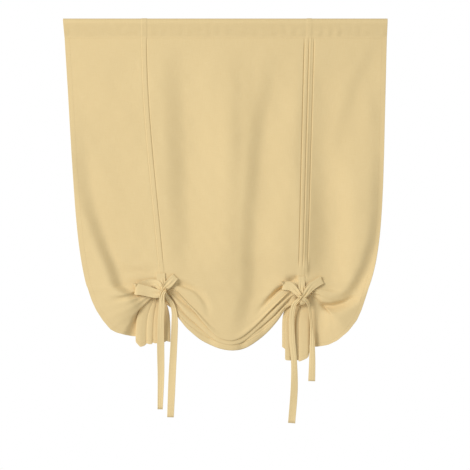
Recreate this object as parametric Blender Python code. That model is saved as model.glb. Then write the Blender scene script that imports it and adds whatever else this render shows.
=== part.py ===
"""Tie up curtain: a cloth panel with a pocket along its top, gathered at two seams by ribbon ties.

Metres, +Z up, +X to the right of the person in front, -Y towards that person.
The origin is the middle of the opening of the pocket, which the curtain hangs by.

The cloth is one surface. A point of it is named by u, the distance across the
flat cloth from its left edge, and v, the distance down it from its top fold.
"""

import math

import bmesh
import bpy
import numpy as np

for item in list(bpy.data.objects):
    bpy.data.objects.remove(item, do_unlink=True)

# Flat cloth
PANEL_WIDTH = 1.168
PANEL_LENGTH = 1.600
CLOTH_THICK = 0.0018
LEFT_SEAM_U = 0.299
RIGHT_SEAM_U = 0.912
SEAM_HALF = 0.010
SEAM_RISE = 0.0008
SIDE_HEM = 0.020
BOTTOM_HEM = 0.025
HEM_RISE = 0.0008
HEM_STEP = 0.002

# Pocket along the top, open at both ends
POCKET_RADIUS = 0.0150
POCKET_CENTRE_Z = -0.0010
STITCH_Z = -0.0520
STITCH_BELOW = 0.0060

# Heights down the cloth, measured along it
KNOT_V = 0.972
FRONT_FOLD_V = 1.170
FIRST_VALLEY_V = 1.275
SECOND_FOLD_V = 1.393
SECOND_VALLEY_V = 1.495
FOLD_ROUND = 0.010

# Hung shape: the knots, and the bunch of cloth that each ties
LEFT_EDGE_X = -0.583
LEFT_SEAM_X = LEFT_EDGE_X + LEFT_SEAM_U
RIGHT_SEAM_X = LEFT_EDGE_X + RIGHT_SEAM_U
RIGHT_EDGE_X = LEFT_EDGE_X + PANEL_WIDTH
LEFT_KNOT = (-0.223, -0.963)
RIGHT_KNOT = (0.2776, -0.977)
BUNCH_HALF = 0.018
BUNCH_FRONT_Y = -0.006
BUNCH_BACK_Y = 0.018
THROAT = 0.015

# Swag between the knots: depth of sag of each fold at its middle, and how
# quickly it leaves the knots
FRONT_SAG = 0.187
FIRST_VALLEY_SAG = 0.075
SECOND_SAG = 0.187
SECOND_VALLEY_SAG = 0.085
HEM_SAG = 0.192
FRONT_POWER = 2.1
VALLEY_POWER = 1.9
SECOND_POWER = 1.85
LAST_VALLEY_POWER = 1.4
HEM_POWER = 1.0
SWAG_SKEW = 0.94
FOLD_DEPTH = 0.008

# Soft waves of the hanging cloth
WAVE_TOP = 0.003
WAVE_KNOT = 0.015
WAVE_PERIOD = 0.43
WAVE_START = 0.12
RIGHT_WAVE = 0.012
FLAT_SHARE = 0.028
EAR_BULGE = 0.036

# Pleats below the knots: length averaged away, and the shares of the ear's
# width where they start and over which they grow
PLEAT_LENGTH = 0.060
PLEAT_START = 0.06
PLEAT_GROWTH = 0.25
SQUEEZE = 0.35

# Side edges above the knots: height of their lower ends, and the share of
# their swing towards the middle that the pocket takes
LEFT_INSET_SHARE = 0.16
RIGHT_INSET_SHARE = 0.10
LEFT_EDGE_KNOT_Z = -0.948
RIGHT_EDGE_KNOT_Z = -0.958

# Side edges below the knots: distance down the cloth, then offset across,
# towards the back and up from the knot
LEFT_EDGE_BELOW = (
    (0.972, -0.272, 0.008, 0.015),
    (1.027, -0.256, 0.005, -0.036),
    (1.067, -0.238, 0.000, -0.072),
    (1.111, -0.213, -0.005, -0.108),
    (1.157, -0.182, -0.008, -0.141),
    (1.207, -0.140, 0.004, -0.161),
    (1.245, -0.108, 0.040, -0.163),
    (1.333, -0.080, -0.024, -0.208),
    (1.388, -0.061, 0.020, -0.197),
    (1.446, -0.038, -0.024, -0.201),
    (1.504, -0.014, 0.020, -0.191),
    (1.555, 0.008, -0.020, -0.188),
    (1.600, 0.030, 0.014, -0.180),
)
RIGHT_EDGE_BELOW = (
    (0.972, 0.238, 0.006, 0.018),
    (1.015, 0.224, 0.004, -0.022),
    (1.054, 0.210, 0.000, -0.058),
    (1.093, 0.190, -0.004, -0.094),
    (1.141, 0.162, -0.008, -0.131),
    (1.194, 0.122, -0.004, -0.166),
    (1.240, 0.083, 0.010, -0.184),
    (1.290, 0.040, 0.040, -0.186),
    (1.372, 0.004, -0.024, -0.236),
    (1.430, -0.018, 0.018, -0.228),
    (1.490, -0.042, -0.022, -0.238),
    (1.540, -0.060, 0.010, -0.230),
    (1.600, -0.070, 0.034, -0.192),
)

# Ribbon ties
WIDE = 0.013
THIN = 0.0016
NARROW = 0.0055
CRUMPLED = 0.0024
SNUG = 0.5 * (WIDE + NARROW)
RIBBON_STEPS = 2
TOUCH_GAP = 0.0003
SEWN_FRONT_Y = BUNCH_FRONT_Y - 0.5 * CLOTH_THICK - SEAM_RISE - TOUCH_GAP - 0.5 * THIN
SEWN_BACK_Y = BUNCH_FRONT_Y + 0.5 * CLOTH_THICK + TOUCH_GAP + 0.5 * THIN + 0.0004

# Paths of the ties: offset from the knot towards the swag, y, offset up,
# lie of the ribbon's width in degrees, half width, thickness
LEFT_FRONT_TIE = (
    (0.001, SEWN_FRONT_Y, 0.072, 0, WIDE, THIN),
    (0.001, SEWN_FRONT_Y - 0.0003, 0.040, 0, WIDE, THIN),
    (0.000, -0.0108, 0.018, 0, SNUG, THIN),
    (0.000, -0.0118, -0.004, 0, NARROW, CRUMPLED),
    (0.001, -0.0148, -0.010, 0, NARROW, CRUMPLED),
    (0.003, -0.0178, -0.003, -12, NARROW, CRUMPLED),
    (0.014, -0.0190, 0.010, -42, SNUG, THIN),
    (0.032, -0.0200, 0.027, -47, WIDE, THIN),
    (0.046, -0.0245, 0.040, -47, WIDE, THIN),
    (0.047, -0.0290, 0.041, -47, WIDE, THIN),
    (0.034, -0.0335, 0.028, -47, WIDE, THIN),
    (0.016, -0.0300, 0.010, -44, SNUG, THIN),
    (0.005, -0.0262, -0.002, -28, NARROW, CRUMPLED),
    (0.005, -0.0258, -0.016, 8, NARROW, CRUMPLED),
    (0.015, -0.0270, -0.038, 24, 0.0075, 0.0020),
    (0.028, -0.0290, -0.080, 14, 0.0105, THIN),
    (0.036, -0.0310, -0.144, 5, 0.0125, THIN),
    (0.038, -0.0310, -0.252, 0, 0.0125, THIN),
    (0.036, -0.0300, -0.360, -2, WIDE, THIN),
    (0.029, -0.0280, -0.457, -4, 0.0120, THIN),
)
LEFT_BACK_TIE = (
    (-0.001, SEWN_BACK_Y, 0.072, 0, WIDE, THIN),
    (-0.001, SEWN_BACK_Y + 0.0004, 0.045, 0, WIDE, THIN),
    (0.000, 0.0015, 0.026, 0, SNUG, THIN),
    (0.000, 0.0115, 0.004, 0, 0.0070, 0.0020),
    (0.000, 0.0235, -0.014, 0, NARROW, CRUMPLED),
    (0.001, 0.0245, -0.027, 0, NARROW, CRUMPLED),
    (0.001, 0.0140, -0.034, 0, NARROW, CRUMPLED),
    (0.001, -0.0050, -0.034, 0, NARROW, CRUMPLED),
    (0.000, -0.0185, -0.027, 0, NARROW, CRUMPLED),
    (-0.001, -0.0218, -0.012, 4, NARROW, CRUMPLED),
    (-0.005, -0.0222, 0.001, 40, NARROW, CRUMPLED),
    (-0.020, -0.0260, 0.009, 84, 0.0085, 0.0020),
    (-0.052, -0.0350, 0.013, 90, 0.0140, THIN),
    (-0.084, -0.0435, 0.012, 90, 0.0155, THIN),
    (-0.0940, -0.0465, 0.010, 90, 0.0160, THIN),
    (-0.0985, -0.0525, 0.0075, 90, 0.0160, THIN),
    (-0.0940, -0.0588, 0.005, 90, 0.0160, THIN),
    (-0.083, -0.0600, 0.003, 90, 0.0155, THIN),
    (-0.054, -0.0490, -0.002, 90, 0.0140, THIN),
    (-0.022, -0.0345, -0.004, 84, 0.0085, 0.0020),
    (-0.005, -0.0308, -0.006, 40, NARROW, CRUMPLED),
    (-0.002, -0.0304, -0.019, 4, NARROW, CRUMPLED),
    (-0.007, -0.0300, -0.046, -4, 0.0085, 0.0020),
    (-0.008, -0.0305, -0.100, 0, 0.0120, THIN),
    (-0.008, -0.0310, -0.200, 0, WIDE, THIN),
    (-0.007, -0.0305, -0.310, 0, 0.0120, THIN),
    (-0.010, -0.0285, -0.428, 2, 0.0095, THIN),
)
RIGHT_FRONT_TIE = (
    (0.000, SEWN_FRONT_Y, 0.066, 0, WIDE, THIN),
    (0.000, SEWN_FRONT_Y - 0.0003, 0.038, 0, WIDE, THIN),
    (0.000, -0.0108, 0.018, 0, SNUG, THIN),
    (0.000, -0.0118, -0.004, 0, NARROW, CRUMPLED),
    (0.001, -0.0148, -0.010, 0, NARROW, CRUMPLED),
    (0.003, -0.0178, -0.003, -20, NARROW, CRUMPLED),
    (0.016, -0.0190, 0.008, -56, SNUG, THIN),
    (0.040, -0.0205, 0.021, -64, WIDE, THIN),
    (0.064, -0.0250, 0.033, -64, WIDE, THIN),
    (0.065, -0.0300, 0.033, -64, WIDE, THIN),
    (0.042, -0.0340, 0.019, -64, WIDE, THIN),
    (0.018, -0.0300, 0.006, -60, SNUG, THIN),
    (0.005, -0.0262, -0.003, -36, NARROW, CRUMPLED),
    (0.005, -0.0258, -0.016, 8, NARROW, CRUMPLED),
    (0.016, -0.0270, -0.036, 26, 0.0075, 0.0020),
    (0.029, -0.0290, -0.072, 12, 0.0100, THIN),
    (0.032, -0.0310, -0.140, 2, 0.0110, THIN),
    (0.031, -0.0315, -0.240, 0, 0.0115, THIN),
    (0.030, -0.0310, -0.346, 0, WIDE, THIN),
    (0.038, -0.0285, -0.464, 4, WIDE, THIN),
)
RIGHT_BACK_TIE = (
    (-0.001, SEWN_BACK_Y, 0.066, 0, WIDE, THIN),
    (-0.001, SEWN_BACK_Y + 0.0004, 0.043, 0, WIDE, THIN),
    (0.000, 0.0015, 0.026, 0, SNUG, THIN),
    (0.000, 0.0115, 0.004, 0, 0.0070, 0.0020),
    (0.000, 0.0235, -0.014, 0, NARROW, CRUMPLED),
    (0.001, 0.0245, -0.027, 0, NARROW, CRUMPLED),
    (0.001, 0.0140, -0.034, 0, NARROW, CRUMPLED),
    (0.001, -0.0050, -0.034, 0, NARROW, CRUMPLED),
    (0.000, -0.0185, -0.027, 0, NARROW, CRUMPLED),
    (-0.001, -0.0218, -0.012, 4, NARROW, CRUMPLED),
    (-0.006, -0.0222, 0.002, 28, NARROW, CRUMPLED),
    (-0.020, -0.0250, 0.015, 48, 0.0085, 0.0020),
    (-0.044, -0.0300, 0.035, 52, WIDE, THIN),
    (-0.066, -0.0360, 0.052, 53, WIDE, THIN),
    (-0.069, -0.0410, 0.054, 53, WIDE, THIN),
    (-0.048, -0.0440, 0.036, 53, WIDE, THIN),
    (-0.022, -0.0365, 0.013, 50, SNUG, THIN),
    (-0.006, -0.0310, -0.003, 30, NARROW, CRUMPLED),
    (-0.004, -0.0304, -0.018, -4, NARROW, CRUMPLED),
    (-0.014, -0.0300, -0.042, -22, 0.0085, 0.0020),
    (-0.025, -0.0305, -0.078, -14, 0.0105, THIN),
    (-0.031, -0.0315, -0.140, -4, 0.0110, THIN),
    (-0.032, -0.0315, -0.238, 0, 0.0115, THIN),
    (-0.033, -0.0300, -0.313, 0, 0.0125, THIN),
)

# Colours
CLOTH_COLOUR = (0.75, 0.59, 0.32, 1.0)
RIBBON_COLOUR = (0.77, 0.61, 0.34, 1.0)
CLOTH_ROUGHNESS = 0.85

# Lengths that follow from the values above
POCKET_DROP = POCKET_CENTRE_Z - STITCH_Z
TANGENT_ANGLE = math.asin(POCKET_RADIUS / POCKET_DROP)
POCKET_ARC = POCKET_RADIUS * (0.5 * math.pi + TANGENT_ANGLE)
POCKET_STRAIGHT = math.sqrt(POCKET_DROP**2 - POCKET_RADIUS**2)
STITCH_V = POCKET_ARC + POCKET_STRAIGHT
STITCH_Y = -0.5 * CLOTH_THICK


def smooth(t):
    """A soft step from 0 to 1."""
    t = np.clip(t, 0.0, 1.0)
    return t * t * (3.0 - 2.0 * t)


def mix(a, b, t):
    return a + (b - a) * t


def rounded(function, v, reach=FOLD_ROUND):
    """The average of a function of v over a length to each side, the rounding of a fold unless told."""
    steps = np.linspace(-reach, reach, 9)
    total = 0.0
    for step in steps:
        total = total + function(np.clip(v + step, STITCH_V, PANEL_LENGTH))
    return total / len(steps)


def seam_line(v, top_x, knot):
    """A seam: straight down to its knot, then bunched inside the tie."""
    above = np.clip((v - STITCH_V) / (KNOT_V - STITCH_V), 0.0, 1.0)
    inside = np.clip((v - KNOT_V) / (PANEL_LENGTH - KNOT_V), 0.0, 1.0)
    x = mix(top_x, knot[0], above)
    y = mix(STITCH_Y, BUNCH_FRONT_Y, above) + (BUNCH_BACK_Y - BUNCH_FRONT_Y) * inside
    z = mix(STITCH_Z, knot[1] + BUNCH_HALF, above) - 2.0 * BUNCH_HALF * inside
    return x, y, z


def edge_line(v, left):
    """A side edge: it swings in down to knot height, then rounds the knot and ends in pleats."""
    knot = LEFT_KNOT if left else RIGHT_KNOT
    below = np.array(LEFT_EDGE_BELOW if left else RIGHT_EDGE_BELOW)
    above = np.clip((v - STITCH_V) / (KNOT_V - STITCH_V), 0.0, 1.0)
    if left:
        start_x = LEFT_EDGE_X
        knot_z = LEFT_EDGE_KNOT_Z
        share = LEFT_INSET_SHARE + 0.36 * above + 0.48 * above**6
    else:
        start_x = RIGHT_EDGE_X
        knot_z = RIGHT_EDGE_KNOT_Z
        share = RIGHT_INSET_SHARE + 0.25 * above + 0.65 * above**7
    x_above = mix(start_x, knot[0] + below[0, 1], share)
    y_above = mix(STITCH_Y, below[0, 2], above)
    z_above = mix(STITCH_Z, knot_z, above)
    is_below = v > KNOT_V
    x = np.where(is_below, knot[0] + np.interp(v, below[:, 0], below[:, 1]), x_above)
    y = np.where(is_below, np.interp(v, below[:, 0], below[:, 2]), y_above)
    z = np.where(is_below, knot[1] + np.interp(v, below[:, 0], below[:, 3]), z_above)
    return x, y, z


def ear_point(g, v, left):
    """The cloth outside a seam. g runs from 0 at the seam to 1 at the side edge."""
    top_x, knot, side = (LEFT_SEAM_X, LEFT_KNOT, -1.0) if left else (RIGHT_SEAM_X, RIGHT_KNOT, 1.0)
    sx, sy, sz = seam_line(v, top_x, knot)
    ex = rounded(lambda w: edge_line(w, left)[0], v)
    ey = rounded(lambda w: edge_line(w, left)[1], v)
    ez = rounded(lambda w: edge_line(w, left)[2], v)
    calm = rounded(lambda w: rounded(lambda q: edge_line(q, left)[1], w), v, PLEAT_LENGTH)
    x = mix(sx, ex, g)
    y = mix(sy, calm, g) + (ey - calm) * g * smooth((g - PLEAT_START) / PLEAT_GROWTH)
    z = mix(sz, ez, g)
    below = smooth((v - KNOT_V) / (PANEL_LENGTH - KNOT_V))
    near = (g / 0.07) * np.exp(1.0 - g / 0.07)
    x = x + side * THROAT * below * near
    height = np.clip((v - STITCH_V) / (KNOT_V - STITCH_V), 0.0, 1.0)
    fade = 1.0 - 0.75 * smooth((v - 1.15) / 0.12)
    y = y - EAR_BULGE * smooth((v - 0.45) / 0.52) * fade * np.sin(math.pi * g) ** 2
    if not left:
        wave = RIGHT_WAVE * (0.2 + 0.8 * height) * fade
        y = y + wave * np.sin(2.0 * math.pi * 0.6 * g) * smooth((g - 0.05) / 0.12)
    return x, y, z


def sag(f, v):
    """How far a line across the cloth hangs below the line between the knots."""
    skewed = np.clip(f, 0.0, 1.0) ** SWAG_SKEW
    clear = np.clip((skewed - 0.02) / 0.96, 0.0, 1.0)
    arch = np.clip(4.0 * skewed * (1.0 - skewed), 0.0, 1.0)
    hem_arch = np.clip(4.0 * clear * (1.0 - clear), 0.0, 1.0)
    heights = (KNOT_V, FRONT_FOLD_V, FIRST_VALLEY_V, SECOND_FOLD_V, SECOND_VALLEY_V, PANEL_LENGTH)
    lines = (
        0.0 * arch,
        FRONT_SAG * arch**FRONT_POWER,
        FIRST_VALLEY_SAG * arch**VALLEY_POWER,
        SECOND_SAG * arch**SECOND_POWER,
        SECOND_VALLEY_SAG * arch**LAST_VALLEY_POWER,
        HEM_SAG * hem_arch**HEM_POWER,
    )
    total = 0.0 * arch
    for i in range(len(heights) - 1):
        t = np.clip((v - heights[i]) / (heights[i + 1] - heights[i]), 0.0, 1.0)
        total = total + (lines[i + 1] - lines[i]) * t
    return total


def swag_point(f, v):
    """The cloth between the seams. f runs from 0 at the left seam to 1 at the right one."""
    lx, ly, lz = seam_line(v, LEFT_SEAM_X, LEFT_KNOT)
    rx, ry, rz = seam_line(v, RIGHT_SEAM_X, RIGHT_KNOT)
    x = mix(lx, rx, f)
    y = mix(ly, ry, f)
    z = mix(lz, rz, f) - rounded(lambda w: sag(f, w), v)
    open_up = smooth((f - 0.03) / 0.07) * smooth((0.97 - f) / 0.07)
    for fold in (FRONT_FOLD_V, FIRST_VALLEY_V, SECOND_FOLD_V, SECOND_VALLEY_V):
        y = y + FOLD_DEPTH * open_up * smooth((v - fold + FOLD_ROUND) / (2.0 * FOLD_ROUND))
    height = np.clip((v - STITCH_V) / (KNOT_V - STITCH_V), 0.0, 1.0)
    size = mix(WAVE_TOP, WAVE_KNOT, height) * smooth(height / 0.12)
    size = size * (1.0 - 0.7 * smooth((v - KNOT_V) / (FRONT_FOLD_V - KNOT_V)))
    ends = smooth((f - FLAT_SHARE) / 0.08) * smooth((1.0 - FLAT_SHARE - f) / 0.08)
    y = y + size * ends * np.sin(2.0 * math.pi * (f - WAVE_START) / WAVE_PERIOD)
    return x, y, z


def panel_point(u, v):
    """The middle of the cloth's thickness, as an array of points."""
    u, v = np.broadcast_arrays(np.asarray(u, float), np.asarray(v, float))
    left_g = np.clip((LEFT_SEAM_U - u) / LEFT_SEAM_U, 0.0, 1.0)
    right_g = np.clip((u - RIGHT_SEAM_U) / (PANEL_WIDTH - RIGHT_SEAM_U), 0.0, 1.0)
    f = np.clip((u - LEFT_SEAM_U) / (RIGHT_SEAM_U - LEFT_SEAM_U), 0.0, 1.0)
    left = ear_point(left_g, v, True)
    middle = swag_point(f, v)
    right = ear_point(right_g, v, False)
    is_left = u < LEFT_SEAM_U
    is_right = u > RIGHT_SEAM_U
    axes = []
    for a in range(3):
        axes.append(np.where(is_left, left[a], np.where(is_right, right[a], middle[a])))
    return np.stack(axes, axis=-1)


def panel_normal(u, v):
    """The unit normal on the front face of the cloth."""
    step = 0.0008
    right_u = np.minimum(u + step, PANEL_WIDTH)
    left_u = np.maximum(u - step, 0.0)
    low_v = np.minimum(v + step, PANEL_LENGTH)
    high_v = np.maximum(v - step, STITCH_V)
    across = panel_point(right_u, v) - panel_point(left_u, v)
    down = panel_point(u, low_v) - panel_point(u, high_v)
    normal = np.cross(down, across)
    return normal / np.linalg.norm(normal, axis=-1, keepdims=True)


def pocket_path():
    """Points and outward normals of the pocket, from the stitching behind, over the top, to the front."""
    low = -TANGENT_ANGLE
    high = math.pi + TANGENT_ANGLE
    path = []
    seat = (math.cos(low), math.sin(low))
    tangent = (POCKET_RADIUS * seat[0], POCKET_CENTRE_Z + POCKET_RADIUS * seat[1])
    path.append((0.5 * CLOTH_THICK, STITCH_Z, seat))
    path.append((0.5 * (tangent[0] + 0.5 * CLOTH_THICK), 0.5 * (tangent[1] + STITCH_Z), seat))
    for angle in np.linspace(low, high, 9):
        y = POCKET_RADIUS * math.cos(angle)
        z = POCKET_CENTRE_Z + POCKET_RADIUS * math.sin(angle)
        path.append((y, z, (math.cos(angle), math.sin(angle))))
    front = (math.cos(high), math.sin(high))
    path.append((-0.5 * (tangent[0] + 0.5 * CLOTH_THICK), 0.5 * (tangent[1] + STITCH_Z), front))
    return path


def pocket_row_x(columns, z):
    """Where the columns lie on a row of the pocket, whose ends slope in a little."""
    fall = (POCKET_CENTRE_Z + POCKET_RADIUS - z) / (POCKET_CENTRE_Z + POCKET_RADIUS - STITCH_Z)
    left_share = np.clip((LEFT_SEAM_U - columns) / LEFT_SEAM_U, 0.0, 1.0)
    right_share = np.clip((columns - RIGHT_SEAM_U) / (PANEL_WIDTH - RIGHT_SEAM_U), 0.0, 1.0)
    left_end = LEFT_INSET_SHARE * (LEFT_KNOT[0] + LEFT_EDGE_BELOW[0][1] - LEFT_EDGE_X)
    right_end = RIGHT_INSET_SHARE * (RIGHT_KNOT[0] + RIGHT_EDGE_BELOW[0][1] - RIGHT_EDGE_X)
    return LEFT_EDGE_X + columns + fall * (left_end * left_share + right_end * right_share)


def row_heights():
    """Heights of the rows of points below the stitching, close together at the folds."""
    above = list(np.linspace(STITCH_V + 0.09, KNOT_V - 0.07, 9)) + [KNOT_V - 0.03]
    rows = [STITCH_V, STITCH_V + STITCH_BELOW, STITCH_V + 0.035, STITCH_V + 0.060] + above
    folds = (KNOT_V, FRONT_FOLD_V, FIRST_VALLEY_V, SECOND_FOLD_V, SECOND_VALLEY_V)
    ends = folds[1:] + (PANEL_LENGTH,)
    for start, end in zip(folds, ends):
        inner = np.linspace(start + FOLD_ROUND, end - FOLD_ROUND, 5)
        rows.append(start)
        rows.extend(inner)
    rows.extend([0.5 * (KNOT_V + FRONT_FOLD_V) + 0.02])
    rows.extend([PANEL_LENGTH - BOTTOM_HEM, PANEL_LENGTH])
    return np.array(sorted(set(np.round(rows, 6))))


def column_places():
    """Distances across the flat cloth of the columns of points, close together at seams and hems."""
    from_left_seam = (0.010, 0.012, 0.030, 0.055, 0.085, 0.120, 0.160, 0.205, 0.245)
    from_right_seam = (0.010, 0.012, 0.030, 0.055, 0.085, 0.115, 0.150, 0.185, 0.215)
    into_swag = (0.010, 0.012, 0.028, 0.048, 0.075, 0.105, 0.140, 0.180, 0.222, 0.264)
    places = [0.0, SIDE_HEM, SIDE_HEM + HEM_STEP, LEFT_SEAM_U]
    places += [LEFT_SEAM_U - d for d in from_left_seam]
    places += [LEFT_SEAM_U + d for d in into_swag]
    places += [0.5 * (LEFT_SEAM_U + RIGHT_SEAM_U)]
    places += [RIGHT_SEAM_U - d for d in into_swag]
    places += [RIGHT_SEAM_U, RIGHT_SEAM_U + from_right_seam[0]]
    places += [RIGHT_SEAM_U + d for d in from_right_seam[1:]]
    places += [PANEL_WIDTH - SIDE_HEM - HEM_STEP, PANEL_WIDTH - SIDE_HEM, PANEL_WIDTH]
    return np.array(sorted(set(np.round(places, 6))))


def front_rise(u):
    """Extra thickness on the front face along the two seams."""
    nearest = np.minimum(np.abs(u - LEFT_SEAM_U), np.abs(u - RIGHT_SEAM_U))
    return SEAM_RISE * (nearest < SEAM_HALF + 0.0005)


def squeeze(u, v):
    """The share of the cloth's thickness that is left where a tie squeezes the bunch."""
    nearest = np.minimum(np.abs(u - LEFT_SEAM_U), np.abs(u - RIGHT_SEAM_U))
    pressed = (1.0 - smooth((nearest - SEAM_HALF) / 0.09)) * smooth((v - KNOT_V + 0.02) / 0.03)
    return 1.0 - (1.0 - SQUEEZE) * pressed


def back_rise(u, v):
    """Extra thickness on the back face where a hem is turned."""
    side = np.minimum(u, PANEL_WIDTH - u) < SIDE_HEM + 0.0005
    bottom = v > PANEL_LENGTH - BOTTOM_HEM - 0.0005
    return HEM_RISE * np.logical_or(side, bottom)


def finish_mesh(name, points, faces, colour):
    """One closed solid with outward faces and its own material."""
    mesh = bpy.data.meshes.new(name)
    mesh.from_pydata([tuple(float(c) for c in p) for p in points], [], faces)
    mesh.validate()
    shell = bmesh.new()
    shell.from_mesh(mesh)
    bmesh.ops.recalc_face_normals(shell, faces=shell.faces)
    shell.to_mesh(mesh)
    shell.free()
    mesh.update()
    item = bpy.data.objects.new(name, mesh)
    bpy.context.scene.collection.objects.link(item)
    material = bpy.data.materials.new(name + "_cloth")
    material.use_nodes = True
    shader = material.node_tree.nodes["Principled BSDF"]
    shader.inputs["Base Color"].default_value = colour
    shader.inputs["Roughness"].default_value = CLOTH_ROUGHNESS
    mesh.materials.append(material)
    return item


def build_panel():
    """The sewn cloth: the pocket turned over the top, then the whole front down to the hem."""
    columns = column_places()
    heights = row_heights()
    pocket = pocket_path()
    half = 0.5 * CLOTH_THICK
    rise_front = front_rise(columns)
    outer = []
    inner = []
    for y, z, normal in pocket:
        top_x = pocket_row_x(columns, z)
        away = half + (rise_front if normal[0] < 0.5 else 0.0 * columns)
        outer.append(np.stack([top_x, y + normal[0] * away, z + normal[1] * away], axis=-1))
        behind = half + 0.0 * columns
        inner.append(np.stack([top_x, y - normal[0] * behind, z - normal[1] * behind], axis=-1))
    stitch_row = len(outer)
    for v in heights:
        middle = panel_point(columns, v)
        if v <= STITCH_V + 1e-9:
            top_x = pocket_row_x(columns, STITCH_Z)
            middle = np.stack([top_x, 0.0 * top_x + STITCH_Y, 0.0 * top_x + STITCH_Z], axis=-1)
            normal = np.zeros_like(middle)
            normal[:, 1] = -1.0
        else:
            normal = panel_normal(columns, v)
        left_over = squeeze(columns, v)
        away = ((half + rise_front) * left_over)[:, None]
        behind = ((half + back_rise(columns, v)) * left_over)[:, None]
        if v <= STITCH_V + 1e-9:
            behind = 0.0 * behind + half
        outer.append(middle + normal * away)
        inner.append(middle - normal * behind)
    count = len(columns)
    rows = len(outer)
    points = np.concatenate(outer + inner)
    outer_index = np.arange(rows * count).reshape(rows, count)
    inner_index = outer_index + rows * count
    # The pocket closes on the front cloth at the stitching
    inner_index[0] = inner_index[stitch_row]
    outer_index[0] = inner_index[stitch_row + 1]
    faces = []
    for i in range(rows - 1):
        for j in range(count - 1):
            a, b = outer_index[i, j], outer_index[i + 1, j]
            c, d = outer_index[i + 1, j + 1], outer_index[i, j + 1]
            faces.append((a, b, c, d))
            if i == stitch_row:
                continue
            a, b = inner_index[i, j], inner_index[i + 1, j]
            c, d = inner_index[i + 1, j + 1], inner_index[i, j + 1]
            faces.append((d, c, b, a))
        faces.append((outer_index[i, 0], inner_index[i, 0], inner_index[i + 1, 0], outer_index[i + 1, 0]))
        last = count - 1
        faces.append((outer_index[i + 1, last], inner_index[i + 1, last], inner_index[i, last], outer_index[i, last]))
    for j in range(count - 1):
        low = rows - 1
        faces.append((outer_index[low, j], inner_index[low, j], inner_index[low, j + 1], outer_index[low, j + 1]))
    used = np.unique(np.concatenate([np.array(face) for face in faces]))
    renumber = {int(old): new for new, old in enumerate(used)}
    faces = [tuple(renumber[int(k)] for k in face) for face in faces]
    return finish_mesh("curtain_panel", points[used], faces, CLOTH_COLOUR)


def spline(stations, count):
    """Points along a smooth curve through the stations, evenly shared between them."""
    stations = np.array(stations, float)
    ends = np.vstack([2 * stations[0] - stations[1], stations, 2 * stations[-1] - stations[-2]])
    result = []
    for i in range(len(stations) - 1):
        a, b, c, d = ends[i], ends[i + 1], ends[i + 2], ends[i + 3]
        for t in np.linspace(0.0, 1.0, count, endpoint=False):
            result.append(
                0.5 * (2 * b + (c - a) * t + (2 * a - 5 * b + 4 * c - d) * t**2 + (3 * b - a - 3 * c + d) * t**3)
            )
    result.append(stations[-1])
    return np.array(result)


def build_ribbon(name, knot, inward, stations, count):
    """A ribbon swept along stations, each given as its offset from the knot and the lie of its width."""
    table = []
    for x, y, z, lie, half_width, thick in stations:
        across = (inward * math.cos(math.radians(lie)), 0.0, math.sin(math.radians(lie)))
        table.append((knot[0] + inward * x, y, knot[1] + z) + across + (half_width, thick))
    path = spline(table, count)
    centre = path[:, 0:3]
    width = path[:, 3:6]
    along = np.gradient(centre, axis=0)
    along = along / np.linalg.norm(along, axis=1, keepdims=True)
    width = width - along * np.sum(along * width, axis=1, keepdims=True)
    width = width / np.linalg.norm(width, axis=1, keepdims=True)
    normal = np.cross(along, width)
    half_width = path[:, 6:7]
    half_thick = 0.5 * path[:, 7:8]
    rings = []
    for across, out in ((-1, 1), (0, 1), (1, 1), (1, -1), (0, -1), (-1, -1)):
        rings.append(centre + width * half_width * across + normal * half_thick * out)
    points = np.stack(rings, axis=1).reshape(-1, 3)
    sides = len(rings)
    faces = []
    for i in range(len(centre) - 1):
        for k in range(sides):
            m = (k + 1) % sides
            faces.append((i * sides + k, i * sides + m, (i + 1) * sides + m, (i + 1) * sides + k))
    last = (len(centre) - 1) * sides
    faces.append((5, 4, 1, 0))
    faces.append((4, 3, 2, 1))
    faces.append((last, last + 1, last + 4, last + 5))
    faces.append((last + 1, last + 2, last + 3, last + 4))
    return finish_mesh(name, points, faces, RIBBON_COLOUR)


build_panel()
build_ribbon("tie_left_front", LEFT_KNOT, 1.0, LEFT_FRONT_TIE, RIBBON_STEPS)
build_ribbon("tie_left_back", LEFT_KNOT, 1.0, LEFT_BACK_TIE, RIBBON_STEPS)
build_ribbon("tie_right_front", RIGHT_KNOT, -1.0, RIGHT_FRONT_TIE, RIBBON_STEPS)
build_ribbon("tie_right_back", RIGHT_KNOT, -1.0, RIGHT_BACK_TIE, RIBBON_STEPS)
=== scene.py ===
"""The looks of the tie up curtain: cloth, ribbons, stitching, materials, light and camera.

Metres, +Z up, +X to the right of the person in front, -Y towards that person.
u is the distance across the flat cloth from its left edge, and v the distance
down it from its top fold.
"""

import math

import bmesh
import bpy
import numpy as np
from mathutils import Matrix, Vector


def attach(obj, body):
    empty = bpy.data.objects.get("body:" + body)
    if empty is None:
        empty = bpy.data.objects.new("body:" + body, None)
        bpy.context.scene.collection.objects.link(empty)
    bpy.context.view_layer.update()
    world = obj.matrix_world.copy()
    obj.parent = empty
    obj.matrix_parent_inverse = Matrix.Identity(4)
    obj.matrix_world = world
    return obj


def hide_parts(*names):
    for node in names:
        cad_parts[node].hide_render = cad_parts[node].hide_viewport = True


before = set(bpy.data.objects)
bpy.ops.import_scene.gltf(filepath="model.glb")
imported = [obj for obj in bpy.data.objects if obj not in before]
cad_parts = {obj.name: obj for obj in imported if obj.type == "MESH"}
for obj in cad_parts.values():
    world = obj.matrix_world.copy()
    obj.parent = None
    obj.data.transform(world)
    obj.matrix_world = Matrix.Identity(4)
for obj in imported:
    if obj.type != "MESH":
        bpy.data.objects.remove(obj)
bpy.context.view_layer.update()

# Picture places are in pixels of a square picture: its side, its scale and the
# place of the origin in it
PICTURE_SIDE = 470
MM_PER_PIXEL = 3.6
ORIGIN_PIXEL = (225.0, 22.6)

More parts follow.
